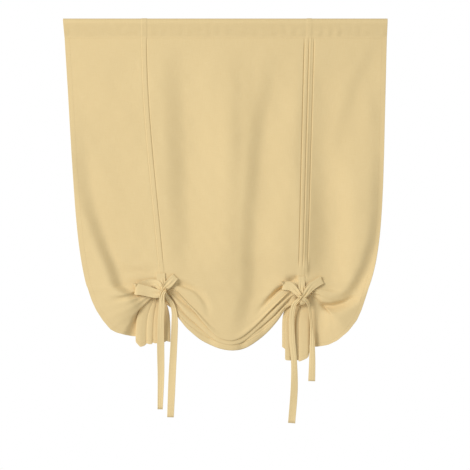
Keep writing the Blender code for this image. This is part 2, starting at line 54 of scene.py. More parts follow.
# Flat cloth
PANEL_WIDTH = 1.168
PANEL_LENGTH = 1.600
CLOTH_THICK = 0.0013
LEFT_SEAM_U = 0.2925
RIGHT_SEAM_U = 0.8865
SEAM_HALF = 0.0095
SEAM_RISE = 0.0009

# Stitched grooves beside and between the seams: place across, depth
GROOVE_HALF = 0.0032
GROOVES = (
    (LEFT_SEAM_U - 0.0105, 0.0007),
    (LEFT_SEAM_U + 0.0085, 0.0024),
    (RIGHT_SEAM_U - 0.0170, 0.0032),
    (RIGHT_SEAM_U, 0.0030),
    (RIGHT_SEAM_U + 0.0180, 0.0028),
)

# Hems and thread
SIDE_HEM = 0.020
BOTTOM_HEM = 0.025
HEM_RISE = 0.0006
SEAM_STITCH = 0.0072
HEM_STITCH = 0.002
STITCH_PITCH = 0.0042
STITCH_SHARE = 0.66
THREAD_RADIUS = 0.00032

# Pocket along the top
POCKET_RADIUS = 0.0150
POCKET_CENTRE_Z = -0.0010
STITCH_Z = -0.0520
PUCKER = 0.0006
PUCKER_PITCH = 0.035

# Heights down the cloth, measured along it
KNOT_V = 0.972
FRONT_FOLD_V = 1.170
FIRST_VALLEY_V = 1.275
SECOND_FOLD_V = 1.393
SECOND_VALLEY_V = 1.495
FOLD_ROUND = 0.010

# Hung shape: the knots, the bunch of cloth that each ties, and how it widens
# beside the seams
LEFT_EDGE_X = -0.583
LEFT_SEAM_X = LEFT_EDGE_X + LEFT_SEAM_U
RIGHT_SEAM_X = LEFT_EDGE_X + RIGHT_SEAM_U
RIGHT_EDGE_X = LEFT_EDGE_X + PANEL_WIDTH
LEFT_KNOT = (-0.223, -0.963)
RIGHT_KNOT = (0.2776, -0.977)
BUNCH_HALF = 0.018
BUNCH_FRONT_Y = -0.006
BUNCH_BACK_Y = 0.018
THROAT = 0.010
THROAT_REACH = 0.07
LEFT_EDGE_KNOT_Z = -0.948
RIGHT_EDGE_KNOT_Z = -0.958

# How far a side edge comes in, as shares of its whole way: at the top, evenly on
# the way down to the knot, and late, close above it
LEFT_INSET = (0.06, 0.62, 0.30)
RIGHT_INSET = (0.03, 0.32, 0.65)
LATE_POWER = 7

# Swag between the knots: picture places along the lowest line of each fold
FRONT_LINE = (
    (163, 288), (174, 290), (181, 297), (188, 305.5), (195, 313), (203, 323), (210.6, 332), (219, 339),
    (229, 342), (236, 341), (244, 337), (256.5, 326), (272, 309.5), (283, 298), (289, 292.5), (302, 290),
)
SECOND_LINE = (
    (163, 290), (169, 294), (175.8, 303), (182, 311), (188, 318), (195, 324), (203, 332), (211, 339),
    (220, 344), (229, 346.3), (237, 345.5), (244, 342.7), (258, 330.5), (266, 323.5), (274, 316),
    (284, 304.5), (293, 295.5), (302, 293),
)
HEM_LINE = (
    (162.6, 295.2), (164.2, 300), (166.9, 305), (171.5, 308.5), (176, 315), (182, 323), (187.5, 329.5),
    (200, 340.3), (213, 347), (224, 350.5), (235, 351.3), (245, 349.2), (255.5, 343), (266.5, 334),
    (277, 322), (283, 313), (286, 309), (291, 306), (298, 303), (302.2, 299.2),
)

# Shares of the way from knot to knot: the ones where the sag is worked out, the
# length of its ends, where the folds open, and where the cloth comes to lie flat
SAG_SHARES = np.linspace(0.0, 1.0, 121)
SAG_END = 0.012
OPEN_UP = (0.01, 0.04)
FLAT_SHARE = 0.05

# The same in metres down from the knots, the share of a fold's sag that the valley
# behind it has, and how far back the hem lies
FLAT_DROP = 0.05
VALLEY_SHARE = 0.45
BUNCH_SWAG_DEPTH = 0.0055

# Strands of the swag, from the front one to the hem: how much of each is hidden,
# where they grow away from the knots, how far they bulge and how deep their folds are
STRAND_HIDDEN = (0.86, 0.45, 0.45)
STRAND_GROWTH = (0.12, 0.34)
STRAND_HEIGHT = 0.012
STRAND_LEAST = 0.002
STRAND_BULGE = 0.32
BULGE_MOST = 0.0055
FOLD_DEPTH = 0.0040
FOLD_LEAST = 0.12
HEM_GROOVE_V = 1.572
HEM_GROOVE_HALF = 0.006
HEM_GROOVE = 0.0018

# Soft steps down the cloth, each from the height where it starts to its end
GROOVES_OUT = (0.87, 0.90)
SEAM_CLEAR_IN = (0.85, 0.89)
SEAM_BULGE = 0.012
SEAM_BULGE_IN = (0.45, 0.75)
SEAM_BULGE_OUT = (0.83, 0.94)
BELLY = 0.011
BELLY_IN = (0.92, 1.04)
LEFT_BELLY_OUT = (1.11, 1.22)
RIGHT_BELLY_OUT = (1.205, 1.245)
LEFT_DRAPE_OUT = (1.15, 1.23)
RIGHT_DRAPE_OUT = (1.205, 1.250)
LEFT_FAN_IN = (1.17, 1.29)
RIGHT_FAN_IN = (1.10, 1.26)
SWING_OUT = (1.13, 1.23)

# Forward swing of the cloth outside the right seam, down the cloth and across it
RIGHT_SWING = 0.017
RIGHT_SWING_DOWN = (0.30, 0.70)
RIGHT_SWING_ACROSS = (0.40, 0.85)

# Forward swing outside the left seam, each value by distance down the cloth: the
# share of the way to the edge where it starts, the share over which it grows, how
# far it comes forward, and how much of that is left beside and below the knot
LEFT_SWING_START = (
    (0.48, 0.78), (0.59, 0.77), (0.70, 0.735), (0.807, 0.64), (0.90, 0.56), (0.98, 0.51), (1.05, 0.36),
)
LEFT_SWING_GROWTH = ((0.50, 0.28), (0.70, 0.20), (0.90, 0.18))
LEFT_SWING = (
    (0.28, 0.0), (0.40, 0.007), (0.485, 0.013), (0.60, 0.016), (0.705, 0.019), (0.81, 0.024), (0.91, 0.028),
    (0.97, 0.032),
)
LEFT_SWING_KEPT = ((0.98, 1.0), (1.10, 0.52), (1.17, 0.28), (1.218, 0.20), (1.240, 0.0))

# Small creases that run out from the knots
GATHER_IN = (0.86, 0.96)
GATHER_DEPTH = 0.0030
GATHER_PITCH = 0.046
GATHER_REACH = 0.30

# Pleats below the knots. The power crowds a fan of pleats towards its edge.
PLEAT_LENGTH = 0.060
PLEAT_ROUND = 0.006
PLEAT_START = 0.06
PLEAT_GROWTH = 0.25
PLEAT_POWER = 0.7
LEFT_FAN_POWER = 3.8
RIGHT_FAN_POWER = ((1.34, 8.0), (1.40, 1.8), (1.44, 1.8), (1.50, 8.0))
FAN_LIFT = 0.014
SQUEEZE = 0.40
SQUEEZE_REACH = 0.09

# Soft unevenness of the cloth: depth, stretch down the cloth, seed, pitch
UNEVEN = (
    (0.0011, 0.45, 5, 0.16),
    (0.00035, 1.0, 9, 0.055),
)

# Side edges below the knots: distance down the cloth, then the place across in
# the picture, the depth in millimetres and the place down in the picture
LEFT_EDGE_BELOW = (
    (0.972, 87.5, 8, 285.9), (1.027, 92, 5, 300), (1.067, 96.6, 0, 310), (1.111, 103, -5, 320),
    (1.157, 110.5, -8, 329.0), (1.190, 116.5, -8, 332.3), (1.215, 122, -8, 333.8), (1.225, 125.5, -4, 334.8),
    (1.233, 128.5, 4, 335.5), (1.245, 132, 8, 336.2), (1.262, 136.5, 8, 336.5), (1.280, 136.0, -2, 338),
    (1.300, 135.8, -9, 342), (1.335, 140.5, -11, 347), (1.360, 145.0, -7, 345.5), (1.385, 148.5, 0, 341),
    (1.405, 146.5, -2, 342), (1.415, 146.3, -6, 343.5), (1.435, 151.5, -7, 344.5), (1.455, 154, 0, 341),
    (1.470, 152.7, -3, 343), (1.490, 158.5, -5, 343.5), (1.515, 161, 1, 340), (1.535, 159.5, -2, 341.5),
    (1.560, 165.2, -4, 342.2), (1.575, 167, 1, 340), (1.585, 165.6, -1, 341), (1.600, 171.0, 0, 342),
)
RIGHT_EDGE_BELOW = (
    (0.972, 368.2, 6, 289.0), (1.015, 364.6, 4, 300), (1.054, 361.2, 0, 310), (1.093, 356.6, -4, 320),
    (1.141, 348, -8, 331), (1.194, 337, -6, 340.5), (1.225, 328, -2, 345), (1.262, 316, 6, 347),
    (1.290, 308, 8, 345), (1.318, 309.5, 0, 350), (1.333, 308.5, -6, 357.5), (1.360, 301, -8, 361),
    (1.375, 298, -6, 361.5), (1.400, 301, -1, 360), (1.425, 298, -3, 360), (1.440, 296.5, -6, 360.5),
    (1.455, 294.5, -6, 361), (1.480, 296, -1, 359), (1.505, 291, -1, 360), (1.520, 290.5, -6, 360.5),
    (1.545, 284.7, -6, 360), (1.570, 287.5, 0, 351), (1.590, 283, 2, 347.5), (1.600, 282, 4, 347),
)

# Valleys of the draped cloth: picture places down each line with the depth in
# millimetres there, then the reach of the steep flank and of the gentle one in
# pixels. The steep flank is on the right of someone walking the line.
VALLEYS = (
    (((183, 45, 0), (184, 90, 10), (187, 150, 17), (190, 210, 14), (190, 245, 9), (189, 272, 0)), 24, 39),
    (((276, 45, 0), (274, 90, 8), (266, 130, 12), (260, 180, 14), (256, 240, 16), (256, 285, 16),
      (250, 312, 13), (243, 335, 4)), 17, 32),
    (((229, 45, 0), (230, 90, -3), (230, 150, -4), (229, 220, -2.5), (229, 290, -1.5),
      (225, 325, 0)), 15, 13),
    (((255, 40, 0), (257, 90, 2.4), (258, 130, 1.5), (259, 165, 0)), 14, 16),
    (((322, 40, 0), (322, 90, 8), (323, 150, 15), (326, 210, 20), (326, 250, 21), (323, 270, 12),
      (320, 283, 2), (319, 290, 0)), 30, 30),
    (((384, 36, 0), (372, 62, 4), (358, 92, 5), (348, 125, 4), (343, 160, 0)), 13, 22),
    (((372, 50, 0), (377, 90, 1.5), (381, 150, 3.5), (380, 210, 7), (376, 240, 10), (369, 264, 13),
      (361.5, 281, 16), (354.5, 292, 18), (345, 300.5, 15), (333, 305.5, 9), (322, 305, 0)), 11, 10),
    (((347, 298.5, 1), (333, 303, 4), (321, 302, 8), (312, 298, 10), (307, 294, 9)), 9.0, 12.0),
    (((353, 298.5, 8), (343, 303.5, 15), (331, 306, 20), (320, 305, 24), (313, 301, 23),
      (307, 296, 14)), 4.6, 8.0),
    (((140, 292.5, 10), (134, 294.4, 13), (127, 296.3, 9), (119, 297.7, 5), (110, 297.5, 0)), 3.2, 5.0),
    (((155, 275, 4), (140, 272, 3.5), (126, 268, 2), (112, 262, 0)), 5.0, 8.0),
    (((176, 284, 5), (179, 284.5, 12), (184, 286, 11), (193, 290, 7), (201, 297, 6), (206, 306, 4),
      (208, 318, 0)), 3.0, 7.0),
    (((292, 283, 10), (286, 287.6, 19), (281.6, 288.8, 21), (277.6, 291.6, 20), (273.6, 295.6, 18),
      (269.6, 299.6, 14), (265.6, 304.6, 9), (261.6, 308.6, 4), (257, 316, 0)), 4.6, 2.0),
    (((297, 279.5, 12), (291, 280, 9), (285, 280, 0)), 6.0, 3.0),
    (((319, 285, 2), (328, 288, 4), (338, 290, 3), (348, 284, 0)), 5.0, 5.0),
)

# Distances from a knot, and from a seam, between which the valleys come in
KNOT_CLEAR = (0.008, 0.022)
SEAM_CLEAR = (0.013, 0.028)

POCKET_DROP = POCKET_CENTRE_Z - STITCH_Z
TANGENT_ANGLE = math.asin(POCKET_RADIUS / POCKET_DROP)
POCKET_ARC = POCKET_RADIUS * (0.5 * math.pi + TANGENT_ANGLE)
POCKET_STRAIGHT = math.sqrt(POCKET_DROP**2 - POCKET_RADIUS**2)
STITCH_V = POCKET_ARC + POCKET_STRAIGHT
STITCH_Y = -0.5 * CLOTH_THICK


def smooth(t):
    """A soft step from 0 to 1."""
    t = np.clip(t, 0.0, 1.0)
    return t * t * (3.0 - 2.0 * t)


def step_up(value, ends):
    """A soft step from 0 at the first end to 1 at the second."""
    return smooth((value - ends[0]) / (ends[1] - ends[0]))


def mix(a, b, t):
    """The value that lies a share t of the way from a to b."""
    return a + (b - a) * t


def look_up(table, v):
    """The value in a table of pairs at v, straight between its rows."""
    heights, values = zip(*table)
    return np.interp(v, heights, values)


def spline(stations, count):
    """Points along a smooth curve through the stations."""
    stations = np.array(stations, float)
    ends = np.vstack([2 * stations[0] - stations[1], stations, 2 * stations[-1] - stations[-2]])
    result = []
    for i in range(len(stations) - 1):
        a, b, c, d = ends[i], ends[i + 1], ends[i + 2], ends[i + 3]
        square = 2 * a - 5 * b + 4 * c - d
        cube = 3 * b - a - 3 * c + d
        for t in np.linspace(0.0, 1.0, count, endpoint=False):
            result.append(0.5 * (2 * b + (c - a) * t + square * t**2 + cube * t**3))
    result.append(stations[-1])
    return np.array(result)


def rounded(function, v, reach=FOLD_ROUND):
    """The average of a function of v over a length to each side."""
    steps = np.linspace(-reach, reach, 9)
    total = 0.0
    for step in steps:
        total = total + function(np.clip(v + step, STITCH_V, PANEL_LENGTH))
    return total / len(steps)


def picture_place(points):
    """The x and z of picture places."""
    points = np.asarray(points, float)
    x = (points[..., 0] - ORIGIN_PIXEL[0]) * MM_PER_PIXEL / 1000.0
    z = (ORIGIN_PIXEL[1] - points[..., 1]) * MM_PER_PIXEL / 1000.0
    return np.stack([x, z], axis=-1)


def way_down(v):
    """Shares of the way from the pocket to the knots, and from there to the hem."""
    above = np.clip((v - STITCH_V) / (KNOT_V - STITCH_V), 0.0, 1.0)
    inside = np.clip((v - KNOT_V) / (PANEL_LENGTH - KNOT_V), 0.0, 1.0)
    return above, inside


def seam_line(v, top_x, knot):
    """A seam: down to its knot, then through the bunch from the front to the back."""
    above, inside = way_down(v)
    bend = 0.5 * above**2 + 0.5 * smooth(above) if top_x < 0.0 else above
    x = mix(top_x, knot[0], bend)
    y = mix(STITCH_Y, BUNCH_FRONT_Y, above) + (BUNCH_BACK_Y - BUNCH_FRONT_Y) * inside
    if top_x > 0.0:
        y = y - SEAM_BULGE * step_up(v, SEAM_BULGE_IN) * (1.0 - step_up(v, SEAM_BULGE_OUT))
    z = mix(STITCH_Z, knot[1] + BUNCH_HALF, above) - 2.0 * BUNCH_HALF * inside
    return x, y, z


def edge_line(v, left):
    """A side edge: it swings in down to knot height, then rounds the knot and ends in pleats."""
    below = np.array(LEFT_EDGE_BELOW if left else RIGHT_EDGE_BELOW)
    places = picture_place(below[:, [1, 3]])
    above, _ = way_down(v)
    start_x = LEFT_EDGE_X if left else RIGHT_EDGE_X
    knot_z = LEFT_EDGE_KNOT_Z if left else RIGHT_EDGE_KNOT_Z
    at_top, even, late = LEFT_INSET if left else RIGHT_INSET
    share = at_top + even * above + late * above**LATE_POWER
    x_above = mix(start_x, places[0, 0], share)
    y_above = mix(STITCH_Y, below[0, 2] / 1000.0, above)
    z_above = mix(STITCH_Z, knot_z, above)
    is_below = v > KNOT_V
    x = np.where(is_below, np.interp(v, below[:, 0], places[:, 0]), x_above)
    y = np.where(is_below, np.interp(v, below[:, 0], below[:, 2]) / 1000.0, y_above)
    z = np.where(is_below, np.interp(v, below[:, 0], places[:, 1]), z_above)
    return x, y, z


def edge_table(left):
    """The side edge with its folds rounded, and its depth with the pleats averaged away."""
    v = np.linspace(STITCH_V, PANEL_LENGTH, 1600)
    x, y, z = (rounded(lambda w: edge_line(w, left)[axis], v, PLEAT_ROUND) for axis in range(3))
    calm = rounded(lambda w: np.interp(w, v, y), v, PLEAT_LENGTH)
    return v, x, y, z, calm


EDGE_TABLES = {True: edge_table(True), False: edge_table(False)}


def ear_point(g, v, left):
    """The cloth outside a seam. g runs from 0 at the seam to 1 at the side edge."""
    top_x, knot, side = (LEFT_SEAM_X, LEFT_KNOT, -1.0) if left else (RIGHT_SEAM_X, RIGHT_KNOT, 1.0)
    sx, sy, sz = seam_line(v, top_x, knot)
    places = EDGE_TABLES[left]
    ex, ey, ez, calm = (np.interp(v, places[0], places[k]) for k in (1, 2, 3, 4))
    fan = step_up(v, LEFT_FAN_IN if left else RIGHT_FAN_IN)
    power = LEFT_FAN_POWER if left else look_up(RIGHT_FAN_POWER, v)
    x = mix(sx, ex, mix(g, 1.0 - (1.0 - g) ** power, fan))
    y = mix(sy, calm, g) + (ey - calm) * (g * smooth((g - PLEAT_START) / PLEAT_GROWTH)) ** PLEAT_POWER
    z = mix(sz, ez, g)
    below = step_up(v, (KNOT_V, PANEL_LENGTH))
    near = (g / THROAT_REACH) * np.exp(1.0 - g / THROAT_REACH)
    x = x + side * THROAT * below * near
    z = z + FAN_LIFT * below * near
    fade = 1.0 - step_up(v, SWING_OUT)
    belly = step_up(v, BELLY_IN) * (1.0 - step_up(v, LEFT_BELLY_OUT if left else RIGHT_BELLY_OUT))
    if left:
        swing = look_up(LEFT_SWING, v) * look_up(LEFT_SWING_KEPT, v)
        swing = swing * smooth((g - look_up(LEFT_SWING_START, v)) / look_up(LEFT_SWING_GROWTH, v))
    else:
        swing = RIGHT_SWING * step_up(v, RIGHT_SWING_DOWN) * step_up(g, RIGHT_SWING_ACROSS) * fade
    y = y - swing - BELLY * belly * np.sin(math.pi * g) ** 2
    gather = step_up(v, GATHER_IN) * fade * smooth(g / PLEAT_START) * np.exp(-g / GATHER_REACH)
    turn = 2.0 * math.pi * (v - GATHER_IN[0]) / GATHER_PITCH
    y = y + gather * GATHER_DEPTH * np.sin(turn + 0.8 * np.sin(9.0 * g))
    return x, y, z


def sag_table(line, fold_v):
    """Sag of one fold line at even shares of the way from knot to knot."""
    places = picture_place(spline(line, 6))
    share = (places[:, 0] - LEFT_KNOT[0]) / (RIGHT_KNOT[0] - LEFT_KNOT[0])
    inside = (fold_v - KNOT_V) / (PANEL_LENGTH - KNOT_V)
    start = BUNCH_HALF - 2.0 * BUNCH_HALF * inside
    drop = mix(LEFT_KNOT[1], RIGHT_KNOT[1], share) + start - places[:, 1]
    ends = np.clip(np.minimum(SAG_SHARES, 1.0 - SAG_SHARES) / SAG_END, 0.0, 1.0)
    return np.interp(SAG_SHARES, share, drop) * ends


SAG_TABLES = (
    sag_table(FRONT_LINE, FRONT_FOLD_V),
    sag_table(SECOND_LINE, SECOND_FOLD_V),
    sag_table(HEM_LINE, PANEL_LENGTH),
)


def sag(f, v):
    """How far a line across the cloth hangs below the line between the knots."""
    front, second, hem = (np.interp(f, SAG_SHARES, table) for table in SAG_TABLES)
    heights = (KNOT_V, FRONT_FOLD_V, FIRST_VALLEY_V, SECOND_FOLD_V, SECOND_VALLEY_V, PANEL_LENGTH)
    lines = (0.0 * front, front, VALLEY_SHARE * front, second, VALLEY_SHARE * second, hem)
    total = 0.0 * front
    for i in range(len(heights) - 1):
        t = np.clip((v - heights[i]) / (heights[i + 1] - heights[i]), 0.0, 1.0)
        total = total + (lines[i + 1] - lines[i]) * t
    return total


def swag_point(f, v):
    """The cloth between the seams. f runs from 0 at the left seam to 1 at the right one."""
    lx, ly, lz = seam_line(v, LEFT_SEAM_X, LEFT_KNOT)
    rx, ry, rz = seam_line(v, RIGHT_SEAM_X, RIGHT_KNOT)
    x = mix(lx, rx, f)
    y = mix(ly, ry, f)
    z = mix(lz, rz, f) - rounded(lambda w: sag(f, w), v)
    _, inside = way_down(v)
    flat = smooth(np.minimum(f, 1.0 - f) / FLAT_SHARE) * smooth((v - KNOT_V) / FLAT_DROP)
    y = mix(y, BUNCH_FRONT_Y + BUNCH_SWAG_DEPTH * inside, flat)
    front, second, hem = (np.interp(f, SAG_SHARES, table) for table in SAG_TABLES)
    open_up = step_up(f, OPEN_UP) * step_up(1.0 - f, OPEN_UP)
    strands = (
        (KNOT_V, FRONT_FOLD_V, FIRST_VALLEY_V, second - front),
        (FIRST_VALLEY_V, SECOND_FOLD_V, SECOND_VALLEY_V, second - front),
        (SECOND_VALLEY_V, PANEL_LENGTH, None, hem - second),
    )
    for (top, low, behind, height), hidden in zip(strands, STRAND_HIDDEN):
        size = np.clip(height / STRAND_HEIGHT, FOLD_LEAST, 1.0) * open_up
        size = size * (0.5 + 0.5 * step_up(np.minimum(f, 1.0 - f), STRAND_GROWTH))
        if behind is not None:
            for fold in (low, behind):
                y = y + FOLD_DEPTH * size * smooth((v - fold + FOLD_ROUND) / (2.0 * FOLD_ROUND))
        t = np.clip(((v - top) / (low - top) - hidden) / (1.0 - hidden), 0.0, 1.0)
        bulge = np.minimum(STRAND_BULGE * np.maximum(height, STRAND_LEAST), BULGE_MOST)
        y = y - bulge * open_up * np.sin(math.pi * t)
    groove = 1.0 - smooth(np.abs(v - HEM_GROOVE_V) / HEM_GROOVE_HALF)
    y = y + HEM_GROOVE * groove * open_up
    return x, y, z


def valley(x, z, points, steep, gentle):
    """Depth of one valley at places x and z."""
    table = spline(points, 8)
    line = picture_place(table[:, 0:2])
    depth = table[:, 2] / 1000.0
    steep = steep * MM_PER_PIXEL / 1000.0
    gentle = gentle * MM_PER_PIXEL / 1000.0
    reach = max(steep, gentle)
    near = (
        (x > line[:, 0].min() - reach) & (x < line[:, 0].max() + reach)
        & (z > line[:, 1].min() - reach) & (z < line[:, 1].max() + reach)
    )
    px, pz = x[near], z[near]
    best = np.full(px.shape, 1e9)
    side = np.zeros(px.shape)
    size = np.zeros(px.shape)
    for i in range(len(line) - 1):
        a, d = line[i], line[i + 1] - line[i]
        t = np.clip(((px - a[0]) * d[0] + (pz - a[1]) * d[1]) / (d @ d), 0.0, 1.0)
        ox = px - (a[0] + t * d[0])
        oz = pz - (a[1] + t * d[1])
        distance = np.hypot(ox, oz)
        closer = distance < best
        best = np.where(closer, distance, best)
        side = np.where(closer, d[0] * oz - d[1] * ox, side)
        size = np.where(closer, mix(depth[i], depth[i + 1], t), size)
    width = np.where(side > 0.0, gentle, steep)
    result = np.zeros(x.shape)
    result[near] = size * (1.0 - smooth(best / width))
    return result


def drape_offset(x, z):
    """Depth of all the draped folds, on the layer of cloth in front."""
    total = np.zeros(x.shape)
    for points, steep, gentle in VALLEYS:
        total = total + valley(x, z, points, steep, gentle)
    knots = np.ones(x.shape)
    for knot in (LEFT_KNOT, RIGHT_KNOT):
        knots = knots * step_up(np.hypot(x - knot[0], z - knot[1]), KNOT_CLEAR)
    return total * knots


def noise_wave(u, v, seed, scale, count=14):
    """Soft irregular waves, the sum of a few seeded sine waves."""
    rng = np.random.default_rng(seed)
    total = 0.0
    for _ in range(count):
        angle = rng.uniform(0.0, math.pi)
        pitch = scale * rng.uniform(0.7, 1.6)
        phase = rng.uniform(0.0, 2.0 * math.pi)
        run = u * math.cos(angle) + v * math.sin(angle)
        total = total + np.sin(2.0 * math.pi * run / pitch + phase)
    return total / math.sqrt(count)


def from_seam(u):
    """Distance across the cloth to the nearest seam."""
    return np.minimum(np.abs(u - LEFT_SEAM_U), np.abs(u - RIGHT_SEAM_U))


def seam_grooves(u):
    """Depth of the stitched grooves along the seams."""
    total = np.zeros(u.shape)
    for place, depth in GROOVES:
        total = total + depth * (1.0 - smooth(np.abs(u - place) / GROOVE_HALF))
    return total


def panel_point(u, v):
    """The middle of the cloth's thickness, as an array of points."""
    u, v = np.broadcast_arrays(np.asarray(u, float), np.asarray(v, float))
    left_g = np.clip((LEFT_SEAM_U - u) / LEFT_SEAM_U, 0.0, 1.0)
    right_g = np.clip((u - RIGHT_SEAM_U) / (PANEL_WIDTH - RIGHT_SEAM_U), 0.0, 1.0)
    f = np.clip((u - LEFT_SEAM_U) / (RIGHT_SEAM_U - LEFT_SEAM_U), 0.0, 1.0)
    left = ear_point(left_g, v, True)
    middle = swag_point(f, v)
    right = ear_point(right_g, v, False)
    is_left = u < LEFT_SEAM_U
    is_right = u > RIGHT_SEAM_U
    axes = []
    for a in range(3):
        axes.append(np.where(is_left, left[a], np.where(is_right, right[a], middle[a])))
    x, y, z = axes
    nearest = from_seam(u)
    front = np.where(is_left, 1.0 - step_up(v, LEFT_DRAPE_OUT), 1.0)
    front = np.where(is_right, 1.0 - step_up(v, RIGHT_DRAPE_OUT), front)
    by_seam = mix(1.0, step_up(nearest, SEAM_CLEAR), step_up(v, SEAM_CLEAR_IN))
    y = y + drape_offset(x, z) * front * by_seam
    y = y + seam_grooves(u) * smooth((v - STITCH_V) / 0.02) * (1.0 - step_up(v, GROOVES_OUT))
    free = smooth((v - STITCH_V) / 0.10) * smooth(nearest / 0.03)
    calm = 1.0 - 0.8 * smooth((v - KNOT_V) / 0.15)
    for depth, stretch, seed, pitch in UNEVEN:
        y = y + free * calm * depth * noise_wave(u, stretch * v, seed, pitch)
    return np.stack([x, y, z], axis=-1)


def panel_normal(u, v):
    """The unit normal on the front face of the cloth."""
    step = 0.0008
    right_u = np.minimum(u + step, PANEL_WIDTH)
    left_u = np.maximum(u - step, 0.0)
    low_v = np.minimum(v + step, PANEL_LENGTH)
    high_v = np.maximum(v - step, STITCH_V)
    across = panel_point(right_u, v) - panel_point(left_u, v)
    down = panel_point(u, low_v) - panel_point(u, high_v)
    normal = np.cross(down, across)
    return normal / np.linalg.norm(normal, axis=-1, keepdims=True)


def pocket_path(count):
    """Points, outward normals and v of the pocket, from the stitching behind to the front."""
    low = -TANGENT_ANGLE
    high = math.pi + TANGENT_ANGLE
    seat = (math.cos(low), math.sin(low))
    front = (math.cos(high), math.sin(high))
    tangent = (POCKET_RADIUS * seat[0], POCKET_CENTRE_Z + POCKET_RADIUS * seat[1])
    foot = 0.5 * CLOTH_THICK
    path = []
    for t in np.linspace(0.0, 1.0, 6, endpoint=False):
        flat_v = -STITCH_V + t * POCKET_STRAIGHT
        path.append((mix(foot, tangent[0], t), mix(STITCH_Z, tangent[1], t), seat, flat_v))
    for angle in np.linspace(low, high, count):
        y = POCKET_RADIUS * math.cos(angle)
        z = POCKET_CENTRE_Z + POCKET_RADIUS * math.sin(angle)
        path.append((y, z, (math.cos(angle), math.sin(angle)), POCKET_RADIUS * (angle - 0.5 * math.pi)))
    for t in np.linspace(0.0, 1.0, 6, endpoint=False)[1:]:
        flat_v = POCKET_ARC + t * POCKET_STRAIGHT
        path.append((-mix(tangent[0], foot, t), mix(tangent[1], STITCH_Z, t), front, flat_v))
    return path


def pocket_row_x(columns, z):
    """Places across, for a level of the pocket: it narrows a little from the top to the stitching."""
    fall = (POCKET_CENTRE_Z + POCKET_RADIUS - z) / (POCKET_CENTRE_Z + POCKET_RADIUS - STITCH_Z)
    left_share = np.clip((LEFT_SEAM_U - columns) / LEFT_SEAM_U, 0.0, 1.0)
    right_share = np.clip((columns - RIGHT_SEAM_U) / (PANEL_WIDTH - RIGHT_SEAM_U), 0.0, 1.0)
    left_end = LEFT_INSET[0] * (picture_place(LEFT_EDGE_BELOW[0][1::2])[0] - LEFT_EDGE_X)
    right_end = RIGHT_INSET[0] * (picture_place(RIGHT_EDGE_BELOW[0][1::2])[0] - RIGHT_EDGE_X)
    return LEFT_EDGE_X + columns + fall * (left_end * left_share + right_end * right_share)


def spread(start, end, pitch):
    """Evenly spaced places from start to end, about a pitch apart."""
    return list(np.linspace(start, end, max(2, int(round(abs(end - start) / pitch)) + 1)))


def row_heights():
    """Heights of the rows of points down the cloth, closest together at the folds and the hem."""
    hem_top = PANEL_LENGTH - BOTTOM_HEM
    bands = [
        (STITCH_V + 0.008, KNOT_V - 0.17, 0.017),
        (KNOT_V - 0.17, KNOT_V - 0.05, 0.0075),
        (KNOT_V - 0.05, FRONT_FOLD_V - 0.02, 0.005),
        (FRONT_FOLD_V + 0.02, FIRST_VALLEY_V - 0.02, 0.0055),
        (FIRST_VALLEY_V + 0.02, SECOND_FOLD_V - 0.02, 0.007),
        (SECOND_FOLD_V + 0.02, SECOND_VALLEY_V - 0.02, 0.007),
        (SECOND_VALLEY_V + 0.02, hem_top - 0.009, 0.0065),
        (hem_top - 0.007, hem_top - 0.001, 0.003),
        (hem_top + 0.0003, PANEL_LENGTH, 0.005),
    ]
    for fold in (FRONT_FOLD_V, FIRST_VALLEY_V, SECOND_FOLD_V, SECOND_VALLEY_V):
        bands.append((fold - 0.014, fold + 0.014, 0.0035))
    rows = [STITCH_V, STITCH_V + 0.003]
    for start, end, pitch in bands:
        rows += spread(start, end, pitch)
    return np.array(sorted(set(np.round(rows, 6))))


def column_places():
    """Places of the points across the cloth, closest together at the seams and the side hems."""
    far_hem = PANEL_WIDTH - SIDE_HEM
    bands = [
        (0.004, SIDE_HEM - 0.0003, 0.005),
        (SIDE_HEM + 0.007, LEFT_SEAM_U - 0.12, 0.0095),
        (LEFT_SEAM_U + 0.15, RIGHT_SEAM_U - 0.15, 0.0095),
        (RIGHT_SEAM_U + 0.12, far_hem - 0.007, 0.0095),
        (far_hem + 0.0003, PANEL_WIDTH - 0.004, 0.005),
    ]
    for seam, side in ((LEFT_SEAM_U, 1.0), (RIGHT_SEAM_U, -1.0)):
        bands.append((seam - side * 0.12, seam - side * 0.025, 0.0045))
        bands.append((seam + side * 0.025, seam + side * 0.15, 0.0062))
        bands.append((seam - 0.021, seam + 0.021, 0.0035))
    places = [0.0, 0.001, SIDE_HEM + 0.0008, far_hem - 0.0008, PANEL_WIDTH - 0.001, PANEL_WIDTH]
    for start, end, pitch in bands:
        places += spread(start, end, pitch)
    for place, _ in GROOVES:
        places += [place + k * GROOVE_HALF for k in (-1.6, -1.0, -0.66, -0.33, 0.0, 0.33, 0.66, 1.0, 1.6)]
    kept = []
    for place in sorted(set(np.round(places, 6))):
        if not kept or place - kept[-1] > 0.0006:
            kept.append(place)
    return np.array(kept)


def front_rise(u):
    """Extra thickness on the front face along the seams."""
    return SEAM_RISE * (1.0 - step_up(from_seam(u), (SEAM_HALF - 0.0008, SEAM_HALF + 0.0008)))


def squeeze(u, v):
    """Share of the cloth's thickness that is left where the ties press it."""
    pressed = 1.0 - smooth((from_seam(u) - SEAM_HALF) / SQUEEZE_REACH)
    pressed = pressed * smooth((v - KNOT_V + 0.02) / 0.03)
    return 1.0 - (1.0 - SQUEEZE) * pressed


def back_rise(u, v):
    """Extra thickness on the back face where a hem is turned."""
    side = np.minimum(u, PANEL_WIDTH - u) < SIDE_HEM + 0.0001
    bottom = v > PANEL_LENGTH - BOTTOM_HEM - 0.0001
    return HEM_RISE * np.logical_or(side, bottom)


